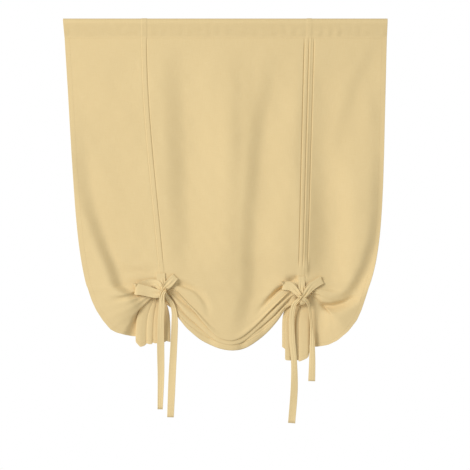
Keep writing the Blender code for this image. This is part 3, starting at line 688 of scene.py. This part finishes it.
def front_surface(u, v):
    """A point of the front face and its normal, for v from the stitching down."""
    normal = panel_normal(u, v)
    away = (0.5 * CLOTH_THICK + front_rise(u)) * squeeze(u, v)
    return panel_point(u, v) + normal * away[..., None], normal


def link_object(name, data):
    """A new object in the scene."""
    item = bpy.data.objects.new(name, data)
    bpy.context.scene.collection.objects.link(item)
    return item


def link_mesh(name, points, faces, uvs=None, outward=True):
    """A smooth shaded mesh object that rides on the curtain."""
    mesh = bpy.data.meshes.new(name)
    mesh.from_pydata([tuple(float(c) for c in p) for p in points], [], faces)
    if uvs is not None:
        layer = mesh.uv_layers.new(name="flat_cloth")
        corner = np.empty(len(mesh.loops), np.int32)
        mesh.loops.foreach_get("vertex_index", corner)
        layer.data.foreach_set("uv", np.asarray(uvs, np.float32)[corner].ravel())
    if outward:
        shell = bmesh.new()
        shell.from_mesh(mesh)
        bmesh.ops.recalc_face_normals(shell, faces=shell.faces)
        shell.to_mesh(mesh)
        shell.free()
    mesh.polygons.foreach_set("use_smooth", [True] * len(mesh.polygons))
    mesh.update()
    item = link_object(name, mesh)
    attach(item, "root")
    return item


def build_panel():
    """The cloth: a front and a back face, with the pocket folded over and closed at its stitching."""
    columns = column_places()
    heights = row_heights()
    pocket = pocket_path(22)
    half = 0.5 * CLOTH_THICK
    rise_front = front_rise(columns)
    outer = []
    inner = []
    uvs = []
    for y, z, normal, flat_v in pocket:
        top_x = pocket_row_x(columns, z)
        pucker = PUCKER * noise_wave(columns, 0.0 * columns + z, 3, PUCKER_PITCH)
        pucker = pucker * np.clip((z - STITCH_Z) / 0.01, 0.0, 1.0) * np.clip((0.0 - z) / 0.03, 0.0, 1.0)
        away = half + rise_front * (normal[0] < 0.5) + pucker
        behind = half - pucker
        outer.append(np.stack([top_x, y + normal[0] * away, z + normal[1] * away], axis=-1))
        inner.append(np.stack([top_x, y - normal[0] * behind, z - normal[1] * behind], axis=-1))
        uvs.append(np.stack([columns, 0.0 * columns + flat_v], axis=-1))
    stitch_row = len(outer)
    top_x = pocket_row_x(columns, STITCH_Z)
    middle = np.stack([top_x, 0.0 * top_x + STITCH_Y, 0.0 * top_x + STITCH_Z], axis=-1)
    forward = np.array([0.0, -1.0, 0.0])
    outer.append(middle + forward * (half + rise_front - 0.0003)[:, None])
    inner.append(middle - forward * half)
    uvs.append(np.stack([columns, 0.0 * columns + STITCH_V], axis=-1))
    u, v = np.meshgrid(columns, heights[1:])
    middle = panel_point(u, v)
    normal = panel_normal(u, v)
    left_over = squeeze(u, v)
    outer.extend(middle + normal * ((half + front_rise(u)) * left_over)[..., None])
    inner.extend(middle - normal * ((half + back_rise(u, v)) * left_over)[..., None])
    uvs.extend(np.stack([u, v], axis=-1))
    count = len(columns)
    rows = len(outer)
    points = np.concatenate(outer + inner)
    flat = np.concatenate(uvs + uvs)
    outer_index = np.arange(rows * count).reshape(rows, count)
    inner_index = outer_index + rows * count
    # The pocket closes on the front cloth at the stitching
    inner_index[0] = inner_index[stitch_row]
    outer_index[0] = inner_index[stitch_row + 1]
    faces = []
    for i in range(rows - 1):
        out_a, out_b = outer_index[i], outer_index[i + 1]
        in_a, in_b = inner_index[i], inner_index[i + 1]
        for j in range(count - 1):
            faces.append((out_a[j], out_b[j], out_b[j + 1], out_a[j + 1]))
            if i != stitch_row:
                faces.append((in_a[j + 1], in_b[j + 1], in_b[j], in_a[j]))
        faces.append((out_a[0], in_a[0], in_b[0], out_b[0]))
        faces.append((out_b[-1], in_b[-1], in_a[-1], out_a[-1]))
    out_a, in_a = outer_index[-1], inner_index[-1]
    for j in range(count - 1):
        faces.append((out_a[j], in_a[j], in_a[j + 1], out_a[j + 1]))
    used = np.unique(np.concatenate([np.array(face) for face in faces]))
    renumber = np.zeros(len(points), int)
    renumber[used] = np.arange(len(used))
    faces = [tuple(int(renumber[k]) for k in face) for face in faces]
    return link_mesh("curtain_cloth", points[used], faces, flat[used])


# Ribbon: half widths, thickness, and the depths of its creases, curl, waves,
# sewn edges and crumples
WIDE = 0.013
NARROW = 0.0055
SNUG = 0.5 * (WIDE + NARROW)
TIE_THICK = 0.0012
CREASE = 0.0011
CURL = 0.0011
RIPPLE = 0.0012
EDGE_DIP = 0.00025
CRUMPLE = 0.0013
CRUMPLE_REACH = 0.060
SEWN_FRONT_Y = BUNCH_FRONT_Y - 0.0030
SEWN_BACK_Y = BUNCH_FRONT_Y + 0.0020

# Stations along each ribbon: offset from the knot towards the swag, y, offset up,
# lie of the ribbon's width in degrees, half width
LEFT_FRONT_TIE = (
    (-0.008, SEWN_FRONT_Y, 0.061, 0, 0.016),
    (-0.007, SEWN_FRONT_Y - 0.0003, 0.042, 0, 0.016),
    (-0.003, -0.012, 0.026, 0, 0.013),
    (0.0, -0.0165, 0.008, 0, 0.011),
    (0.001, -0.0165, -0.004, 0, 0.008),
    (0.006, -0.0135, 0.0, -30, 0.0085),
    (0.015, -0.01, 0.016, -44, 0.012),
    (0.03, -0.01, 0.034, -46, WIDE),
    (0.043, -0.0095, 0.047, -46, WIDE),
    (0.044, -0.012, 0.048, -46, WIDE),
    (0.033, -0.0155, 0.036, -48, 0.014),
    (0.017, -0.0175, 0.018, -50, 0.0145),
    (0.006, -0.0205, 0.004, -46, 0.0105),
    (0.007, -0.0185, -0.012, 20, 0.0075),
    (0.018, -0.0095, -0.03, 44, 0.0075),
    (0.032, -0.0035, -0.049, 44, 0.008),
    (0.04, -0.0025, -0.078, 14, 0.0095),
    (0.042, -0.004, -0.12, 2, 0.0118),
    (0.038, -0.007, -0.215, -2, 0.0125),
    (0.034, -0.009, -0.29, -3, WIDE),
    (0.031, -0.01, -0.36, -4, WIDE),
    (0.027, -0.011, -0.457, -5, 0.012),
)
LEFT_BACK_TIE = (
    (-0.001, SEWN_BACK_Y, 0.072, 0, WIDE),
    (-0.001, SEWN_BACK_Y + 0.0004, 0.045, 0, WIDE),
    (0.0, 0.0015, 0.026, 0, SNUG),
    (0.0, 0.0115, 0.004, 0, 0.007),
    (0.0, 0.0235, -0.014, 0, NARROW),
    (0.001, 0.0245, -0.029, 0, NARROW),
    (0.001, 0.014, -0.037, 0, NARROW),
    (0.001, -0.005, -0.037, 0, 0.0075),
    (0.0, -0.0185, -0.03, 0, 0.009),
    (-0.002, -0.0228, -0.014, 14, 0.009),
    (-0.009, -0.019, 0.008, 44, 0.011),
    (-0.02, -0.013, 0.021, 66, 0.0135),
    (-0.036, -0.009, 0.026, 80, 0.014),
    (-0.054, -0.009, 0.025, 88, 0.014),
    (-0.074, -0.013, 0.018, 92, 0.015),
    (-0.0905, -0.017, 0.011, 92, 0.0175),
    (-0.0975, -0.019, 0.007, 90, 0.0195),
    (-0.098, -0.023, 0.0045, 90, 0.02),
    (-0.0905, -0.025, 0.0035, 90, 0.02),
    (-0.074, -0.024, 0.0005, 88, 0.019),
    (-0.05, -0.0215, -0.005, 86, 0.0185),
    (-0.026, -0.022, -0.0115, 82, 0.0165),
    (-0.007, -0.025, -0.012, 74, 0.0125),
    (0.007, -0.0275, -0.005, 62, 0.01),
    (0.0125, -0.0295, 0.001, 48, 0.008),
    (0.007, -0.032, -0.001, 20, 0.008),
    (-0.001, -0.032, -0.012, 4, 0.009),
    (-0.003, -0.027, -0.03, 0, 0.01),
    (-0.004, -0.02, -0.06, 0, 0.0115),
    (-0.007, -0.0165, -0.11, 0, 0.0115),
    (-0.008, -0.016, -0.2, 0, WIDE),
    (-0.007, -0.016, -0.31, 0, 0.012),
    (-0.01, -0.015, -0.428, 2, 0.0095),
)
RIGHT_FRONT_TIE = (
    (0.002, SEWN_FRONT_Y, 0.064, 0, 0.0115),
    (0.002, SEWN_FRONT_Y - 0.0008, 0.042, 0, 0.0115),
    (0.002, -0.015, 0.024, 0, 0.0115),
    (0.001, -0.0205, 0.004, 0, 0.0105),
    (0.001, -0.0205, -0.01, 0, 0.008),
    (0.008, -0.0165, -0.006, -40, 0.008),
    (0.02, -0.0125, 0.012, -60, 0.0105),
    (0.036, -0.01, 0.03, -76, 0.013),
    (0.06, -0.01, 0.034, -86, 0.0145),
    (0.069, -0.013, 0.031, -88, 0.015),
    (0.06, -0.0155, 0.0295, -90, 0.015),
    (0.042, -0.0165, 0.027, -86, 0.015),
    (0.027, -0.019, 0.015, -66, 0.0125),
    (0.013, -0.023, -0.001, -50, 0.0095),
    (0.007, -0.0245, -0.014, -10, 0.0075),
    (0.016, -0.0215, -0.024, 44, 0.0075),
    (0.031, -0.013, -0.042, 36, 0.0085),
    (0.038, -0.0095, -0.09, -2, 0.01),
    (0.036, -0.0095, -0.165, -5, 0.011),
    (0.029, -0.01, -0.25, -4, 0.011),
    (0.029, -0.011, -0.346, 2, WIDE),
    (0.038, -0.01, -0.464, 5, WIDE),
)
RIGHT_BACK_TIE = (
    (-0.001, SEWN_BACK_Y, 0.066, 0, WIDE),
    (-0.001, SEWN_BACK_Y + 0.0004, 0.043, 0, WIDE),
    (0.0, 0.0015, 0.026, 0, SNUG),
    (0.0, 0.0115, 0.004, 0, 0.007),
    (0.0, 0.0235, -0.014, 0, NARROW),
    (0.001, 0.0245, -0.03, 0, NARROW),
    (0.001, 0.014, -0.039, 0, NARROW),
    (0.001, -0.005, -0.04, 0, 0.0075),
    (0.0, -0.019, -0.034, 0, 0.0085),
    (-0.003, -0.0228, -0.02, 20, 0.0085),
    (-0.013, -0.017, 0.0, 44, 0.009),
    (-0.02, -0.013, 0.018, 54, 0.013),
    (-0.038, -0.008, 0.034, 62, 0.014),
    (-0.062, -0.0035, 0.047, 64, 0.014),
    (-0.071, -0.0055, 0.051, 64, 0.014),
    (-0.062, -0.009, 0.045, 62, 0.014),
    (-0.038, -0.0145, 0.03, 60, 0.014),
    (-0.02, -0.0215, 0.013, 54, 0.013),
    (-0.006, -0.0275, -0.006, 56, 0.0105),
    (0.007, -0.0325, -0.012, 60, 0.0085),
    (0.011, -0.035, -0.012, 50, 0.0075),
    (0.004, -0.0365, -0.014, 20, 0.007),
    (-0.01, -0.035, -0.02, -10, 0.007),
    (-0.0215, -0.026, -0.034, -30, 0.006),
    (-0.0275, -0.018, -0.06, -14, 0.0055),
    (-0.0325, -0.014, -0.11, -4, 0.0058),
    (-0.0355, -0.013, -0.16, -2, 0.0085),
    (-0.036, -0.013, -0.238, 0, 0.0112),
    (-0.034, -0.012, -0.313, 0, 0.0125),
)


def build_tie(name, node, knot, inward, stations, seed):
    """A flat sewn ribbon, creased together where it is knotted."""
    table = []
    for x, y, z, lie, half_width in stations:
        across = (inward * math.cos(math.radians(lie)), 0.0, math.sin(math.radians(lie)))
        table.append((knot[0] + inward * x, y, knot[1] + z) + across + (half_width,))
    path = spline(table, 10)
    centre = path[:, 0:3]
    width = path[:, 3:6]
    gaps = np.linalg.norm(np.diff(centre, axis=0), axis=1)
    length = np.concatenate([[0.0], np.cumsum(gaps)])
    along = np.gradient(centre, axis=0)
    along = along / np.linalg.norm(along, axis=1, keepdims=True)
    width = width - along * np.sum(along * width, axis=1, keepdims=True)
    width = width / np.linalg.norm(width, axis=1, keepdims=True)
    normal = np.cross(along, width)
    half_width = path[:, 6]
    gathered = np.clip((WIDE - half_width) / (WIDE - NARROW), 0.0, 1.0)
    places = np.array([-1.0, -0.93, -0.86, -0.72, -0.58, -0.43, -0.28, -0.14, 0.0])
    places = np.concatenate([places, -places[-2::-1]])
    rng = np.random.default_rng(seed)
    phase = rng.uniform(0.0, 6.28, 3)
    free = smooth((length - 0.30) / 0.06)
    reach = np.hypot(centre[:, 0] - knot[0], centre[:, 2] - knot[1])
    crumple = CRUMPLE * (1.0 - smooth((reach - 0.012) / CRUMPLE_REACH)) * smooth(length / 0.05)
    top = []
    low = []
    uvs = []
    for c in places:
        crease = CREASE * gathered * np.cos(math.pi * 2.5 * c + 0.4 * np.sin(60.0 * length + phase[0]))
        curl = CURL * (c * c - 0.4) * np.sin(9.0 * length + phase[1]) * free
        ripple = RIPPLE * c * np.sin(17.0 * length + phase[2]) * free
        dip = EDGE_DIP * (1.0 - smooth((abs(c) - 0.83) / 0.05))
        fold = np.sin(7.5 * c + 55.0 * length + phase[0]) + 0.6 * np.sin(4.5 * c - 90.0 * length + phase[1])
        bend = crease + curl + ripple + crumple * fold
        half_thick = 0.5 * TIE_THICK * (0.55 if abs(c) == 1.0 else 1.0) - 0.5 * dip
        base = centre + width * (half_width * c)[:, None]
        top.append(base + normal * (bend + half_thick)[:, None])
        low.append(base + normal * (bend - half_thick)[:, None])
        uvs.append(np.stack([0.0 * length + WIDE * (c + 1.0), length], axis=-1))
    count = len(places)
    rings = np.stack(top + low[::-1], axis=1)
    flat = np.stack(uvs + uvs[::-1], axis=1).reshape(-1, 2)
    points = rings.reshape(-1, 3)
    sides = 2 * count
    faces = []
    for i in range(len(centre) - 1):
        for k in range(sides):
            m = (k + 1) % sides
            faces.append((i * sides + k, i * sides + m, (i + 1) * sides + m, (i + 1) * sides + k))
    last = (len(centre) - 1) * sides
    for k in range(count - 1):
        far = sides - 1 - k
        faces.append((far, far - 1, k + 1, k))
        faces.append((last + k, last + k + 1, last + far - 1, last + far))
    item = link_mesh(name, points, faces, flat)
    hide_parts(node)
    return item


def build_stitches():
    """Rows of thread along the pocket, the seams and the hems."""
    points = []
    faces = []

    def stitch(a, b, normal):
        """One stitch of thread from a to b, lying on the cloth."""
        run = b - a
        size = np.linalg.norm(run)
        if size < 1e-5:
            return
        run = run / size
        side = np.cross(normal, run)
        side = side / np.linalg.norm(side)
        rings = ((0.0, 0.35, -0.6), (0.2, 0.9, 0.35), (0.5, 1.0, 0.6), (0.8, 0.9, 0.35), (1.0, 0.35, -0.6))
        start = len(points)
        for t, fat, lift in rings:
            middle = a + run * size * t + normal * THREAD_RADIUS * lift
            for k in range(5):
                angle = 2.0 * math.pi * k / 5
                out = side * math.cos(angle) + normal * math.sin(angle)
                points.append(middle + out * THREAD_RADIUS * fat)
        for i in range(len(rings) - 1):
            low = start + 5 * i
            high = low + 5
            for k in range(5):
                m = (k + 1) % 5
                faces.append((low + k, low + m, high + m, high + k))
        faces.append(tuple(start + k for k in range(4, -1, -1)))
        faces.append(tuple(start + 20 + k for k in range(5)))

    def row(us, vs):
        """Stitches along a line on the front face, given in the flat cloth."""
        surface, normal = front_surface(us, vs)
        flat_run = np.concatenate([[0.0], np.cumsum(np.hypot(np.diff(us), np.diff(vs)))])
        for k in range(int(flat_run[-1] / STITCH_PITCH)):
            start, end, facing = (
                np.array([np.interp(place * STITCH_PITCH, flat_run, values[:, a]) for a in range(3)])
                for place, values in ((k, surface), (k + STITCH_SHARE, surface), (k, normal))
            )
            stitch(start, end, facing / np.linalg.norm(facing))

    fine = 700
    row(np.linspace(0.003, PANEL_WIDTH - 0.003, fine), np.full(fine, STITCH_V + 0.004))
    down = np.linspace(STITCH_V + 0.006, KNOT_V - 0.02, fine)
    for seam in (LEFT_SEAM_U, RIGHT_SEAM_U):
        row(np.full(fine, seam - SEAM_STITCH), down)
        row(np.full(fine, seam + SEAM_STITCH), down)
    edge = np.linspace(STITCH_V + 0.006, PANEL_LENGTH - 0.02, 2 * fine)
    row(np.full(2 * fine, SIDE_HEM - HEM_STITCH), edge)
    row(np.full(2 * fine, PANEL_WIDTH - SIDE_HEM + HEM_STITCH), edge)
    low = np.full(fine, PANEL_LENGTH - BOTTOM_HEM + HEM_STITCH)
    row(np.linspace(SIDE_HEM, LEFT_SEAM_U - 0.06, fine), low)
    row(np.linspace(LEFT_SEAM_U + 0.06, RIGHT_SEAM_U - 0.06, fine), low)
    row(np.linspace(RIGHT_SEAM_U + 0.06, PANEL_WIDTH - SIDE_HEM, fine), low)
    item = link_mesh("stitching", points, faces, outward=False)
    return item


def new_material(name):
    """A material with its nodes, links and shader."""
    material = bpy.data.materials.new(name)
    material.use_nodes = True
    tree = material.node_tree
    return material, tree.nodes, tree.links, tree.nodes["Principled BSDF"]


def set_inputs(node, values):
    """Give a node's inputs their values, by name."""
    for name, value in values.items():
        node.inputs[name].default_value = value


def cloth_material(name, tint, shade, weave, strength):
    """Woven matte polyester: two tones, heathered threads, a plain weave and soft creases."""
    material, nodes, links, shader = new_material(name)

    def add(kind, inputs, **settings):
        node = nodes.new(kind)
        for key, value in settings.items():
            setattr(node, key, value)
        set_inputs(node, inputs)
        return node

    flat = add("ShaderNodeUVMap", {}, uv_map="flat_cloth")
    place = add("ShaderNodeTexCoord", {})

    def stretched(scale):
        node = add("ShaderNodeMapping", {"Scale": scale})
        links.new(flat.outputs["UV"], node.inputs["Vector"])
        return node.outputs["Vector"]

    def noise(vector, scale, detail, rough=0.5):
        node = add("ShaderNodeTexNoise", {"Scale": scale, "Detail": detail, "Roughness": rough})
        links.new(vector, node.inputs["Vector"])
        return node.outputs["Fac"]

    def wave(direction, vector, scale):
        inputs = {"Scale": scale, "Distortion": 0.6, "Detail": 1.0, "Detail Scale": 0.4}
        node = add("ShaderNodeTexWave", inputs, wave_type="BANDS", bands_direction=direction)
        links.new(vector, node.inputs["Vector"])
        return node.outputs["Fac"]

    def math_node(operation, a, b):
        node = add("ShaderNodeMath", {}, operation=operation)
        for socket, value in zip(node.inputs, (a, b)):
            if isinstance(value, (int, float)):
                socket.default_value = value
            else:
                links.new(value, socket)
        return node.outputs["Value"]

    threads_down = noise(stretched((900.0, 26.0, 1.0)), 1.0, 3.0, 0.6)
    threads_across = noise(stretched((26.0, 900.0, 1.0)), 1.0, 3.0, 0.6)
    threads = math_node("ADD", threads_down, threads_across)
    broad = noise(place.outputs["Object"], 3.2, 3.0)
    blend = math_node("ADD", math_node("MULTIPLY", threads, 0.42), math_node("MULTIPLY", broad, 0.16))
    ramp = add("ShaderNodeValToRGB", {})
    ramp.color_ramp.elements[0].position = 0.30
    ramp.color_ramp.elements[0].color = shade
    ramp.color_ramp.elements[1].position = 0.70
    ramp.color_ramp.elements[1].color = tint
    links.new(blend, ramp.inputs["Fac"])
    links.new(ramp.outputs["Color"], shader.inputs["Base Color"])

    warp = wave("X", stretched((1.0, 1.0, 1.0)), weave)
    weft = wave("Y", stretched((1.0, 1.0, 1.0)), weave)
    cells = math_node("MAXIMUM", warp, weft)
    creases = noise(place.outputs["Object"], 38.0, 4.0, 0.62)
    fine = add("ShaderNodeBump", {"Strength": strength, "Distance": 0.0002})
    links.new(math_node("ADD", cells, math_node("MULTIPLY", threads, 0.8)), fine.inputs["Height"])
    soft = add("ShaderNodeBump", {"Strength": 0.25, "Distance": 0.0022})
    links.new(creases, soft.inputs["Height"])
    links.new(fine.outputs["Normal"], soft.inputs["Normal"])
    links.new(soft.outputs["Normal"], shader.inputs["Normal"])
    rough = add("ShaderNodeMapRange", {"To Min": 0.78, "To Max": 0.95})
    links.new(threads_down, rough.inputs["Value"])
    links.new(rough.outputs["Result"], shader.inputs["Roughness"])
    set_inputs(shader, {"Specular IOR Level": 0.25, "Sheen Weight": 0.20, "Sheen Roughness": 0.45})
    set_inputs(shader, {"Sheen Tint": (1.0, 0.93, 0.80, 1.0)})
    return material


def thread_material():
    """Sewing thread, slightly darker than the cloth: partly its own tone, partly painted shade of the
    pressed stitch lines.
    """
    material, nodes, links, shader = new_material("sewing_thread")
    place = nodes.new("ShaderNodeTexCoord")
    noise = nodes.new("ShaderNodeTexNoise")
    set_inputs(noise, {"Scale": 420.0, "Detail": 2.0})
    links.new(place.outputs["Object"], noise.inputs["Vector"])
    ramp = nodes.new("ShaderNodeValToRGB")
    # Thread tones: its own colour, darkened further as painted shade of the pressed stitch lines
    ramp.color_ramp.elements[0].color = (0.50, 0.36, 0.17, 1.0)
    ramp.color_ramp.elements[1].color = (0.66, 0.50, 0.27, 1.0)
    links.new(noise.outputs["Fac"], ramp.inputs["Fac"])
    links.new(ramp.outputs["Color"], shader.inputs["Base Color"])
    bump = nodes.new("ShaderNodeBump")
    set_inputs(bump, {"Strength": 0.4, "Distance": 0.0001})
    links.new(noise.outputs["Fac"], bump.inputs["Height"])
    links.new(bump.outputs["Normal"], shader.inputs["Normal"])
    set_inputs(shader, {"Roughness": 0.6})
    return material


def stage_material():
    """A plain pale floor."""
    material, _, _, shader = new_material("pale_floor")
    set_inputs(shader, {"Base Color": (0.86, 0.86, 0.86, 1.0), "Roughness": 0.9})
    return material


# Cloth, ribbons and thread
cloth = build_panel()
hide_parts("curtain_panel")
TIES = (
    ("left_front_ribbon", "tie_left_front", LEFT_KNOT, 1.0, LEFT_FRONT_TIE, 21),
    ("left_back_ribbon", "tie_left_back", LEFT_KNOT, 1.0, LEFT_BACK_TIE, 22),
    ("right_front_ribbon", "tie_right_front", RIGHT_KNOT, -1.0, RIGHT_FRONT_TIE, 23),
    ("right_back_ribbon", "tie_right_back", RIGHT_KNOT, -1.0, RIGHT_BACK_TIE, 24),
)
ribbons = [build_tie(*tie) for tie in TIES]
stitching = build_stitches()

CLOTH_COLOURS = (0.800, 0.615, 0.335, 1.0), (0.735, 0.545, 0.275, 1.0)
RIBBON_COLOURS = (0.820, 0.635, 0.350, 1.0), (0.750, 0.560, 0.285, 1.0)
cloth_look = cloth_material("woven_cloth", *CLOTH_COLOURS, 380.0, 0.35)
ribbon_look = cloth_material("woven_ribbon", *RIBBON_COLOURS, 420.0, 0.35)
cloth.data.materials.append(cloth_look)
for ribbon in ribbons:
    ribbon.data.materials.append(ribbon_look)
stitching.data.materials.append(thread_material())

# Floor
FLOOR_Z = -2.05
FLOOR_RADIUS = 2.8
FLOOR_SIDES = 128
floor_mesh = bpy.data.meshes.new("floor")
rim = []
for k in range(FLOOR_SIDES):
    angle = 2.0 * math.pi * k / FLOOR_SIDES
    rim.append((FLOOR_RADIUS * math.cos(angle), FLOOR_RADIUS * math.sin(angle), FLOOR_Z))
floor_mesh.from_pydata(rim, [], [tuple(range(FLOOR_SIDES))])
floor = link_object("floor", floor_mesh)
floor_mesh.materials.append(stage_material())

# Soft studio light
world = bpy.data.worlds.new("studio")
bpy.context.scene.world = world
world.use_nodes = True
sky = world.node_tree.nodes
lit = sky["Background"]
set_inputs(lit, {"Color": (0.95, 1.0, 0.975, 1.0), "Strength": 0.49})
seen = sky.new("ShaderNodeBackground")
set_inputs(seen, {"Color": (1.0, 1.0, 1.0, 1.0), "Strength": 1.0})
path = sky.new("ShaderNodeLightPath")
choice = sky.new("ShaderNodeMixShader")
world.node_tree.links.new(path.outputs["Is Camera Ray"], choice.inputs["Fac"])
world.node_tree.links.new(lit.outputs["Background"], choice.inputs[1])
world.node_tree.links.new(seen.outputs["Background"], choice.inputs[2])
world.node_tree.links.new(choice.outputs["Shader"], sky["World Output"].inputs["Surface"])
bpy.context.scene.view_settings.view_transform = "Standard"
# Lights: name, place, side and power. Each faces the middle of the curtain.
AIM = Vector((0.0, 0.0, -0.7))
LIGHTS = (
    ("key", (-6.3, -6.5, 2.4), 4.0, 622.0),
    ("fill", (3.2, -4.2, -0.2), 3.0, 10.0),
)
for name, place, size, power in LIGHTS:
    lamp = bpy.data.lights.new(name, "AREA")
    lamp.size = size
    lamp.energy = power
    item = link_object(name, lamp)
    item.location = place
    item.rotation_euler = (AIM - Vector(place)).to_track_quat("-Z", "Y").to_euler()

# Camera, level and square on, far enough back to flatten the view
CAMERA_DISTANCE = 8.0
SENSOR_WIDTH = 36.0
FRAME_WIDTH = PICTURE_SIDE * MM_PER_PIXEL / 1000.0
centre_x, centre_z = picture_place((0.5 * PICTURE_SIDE, 0.5 * PICTURE_SIDE))
camera_data = bpy.data.cameras.new("camera")
camera_data.sensor_width = SENSOR_WIDTH
camera_data.lens = SENSOR_WIDTH * CAMERA_DISTANCE / FRAME_WIDTH
camera = link_object("camera", camera_data)
camera.location = (centre_x, -CAMERA_DISTANCE, centre_z)
camera.rotation_euler = (math.radians(90.0), 0.0, 0.0)
bpy.context.scene.camera = camera
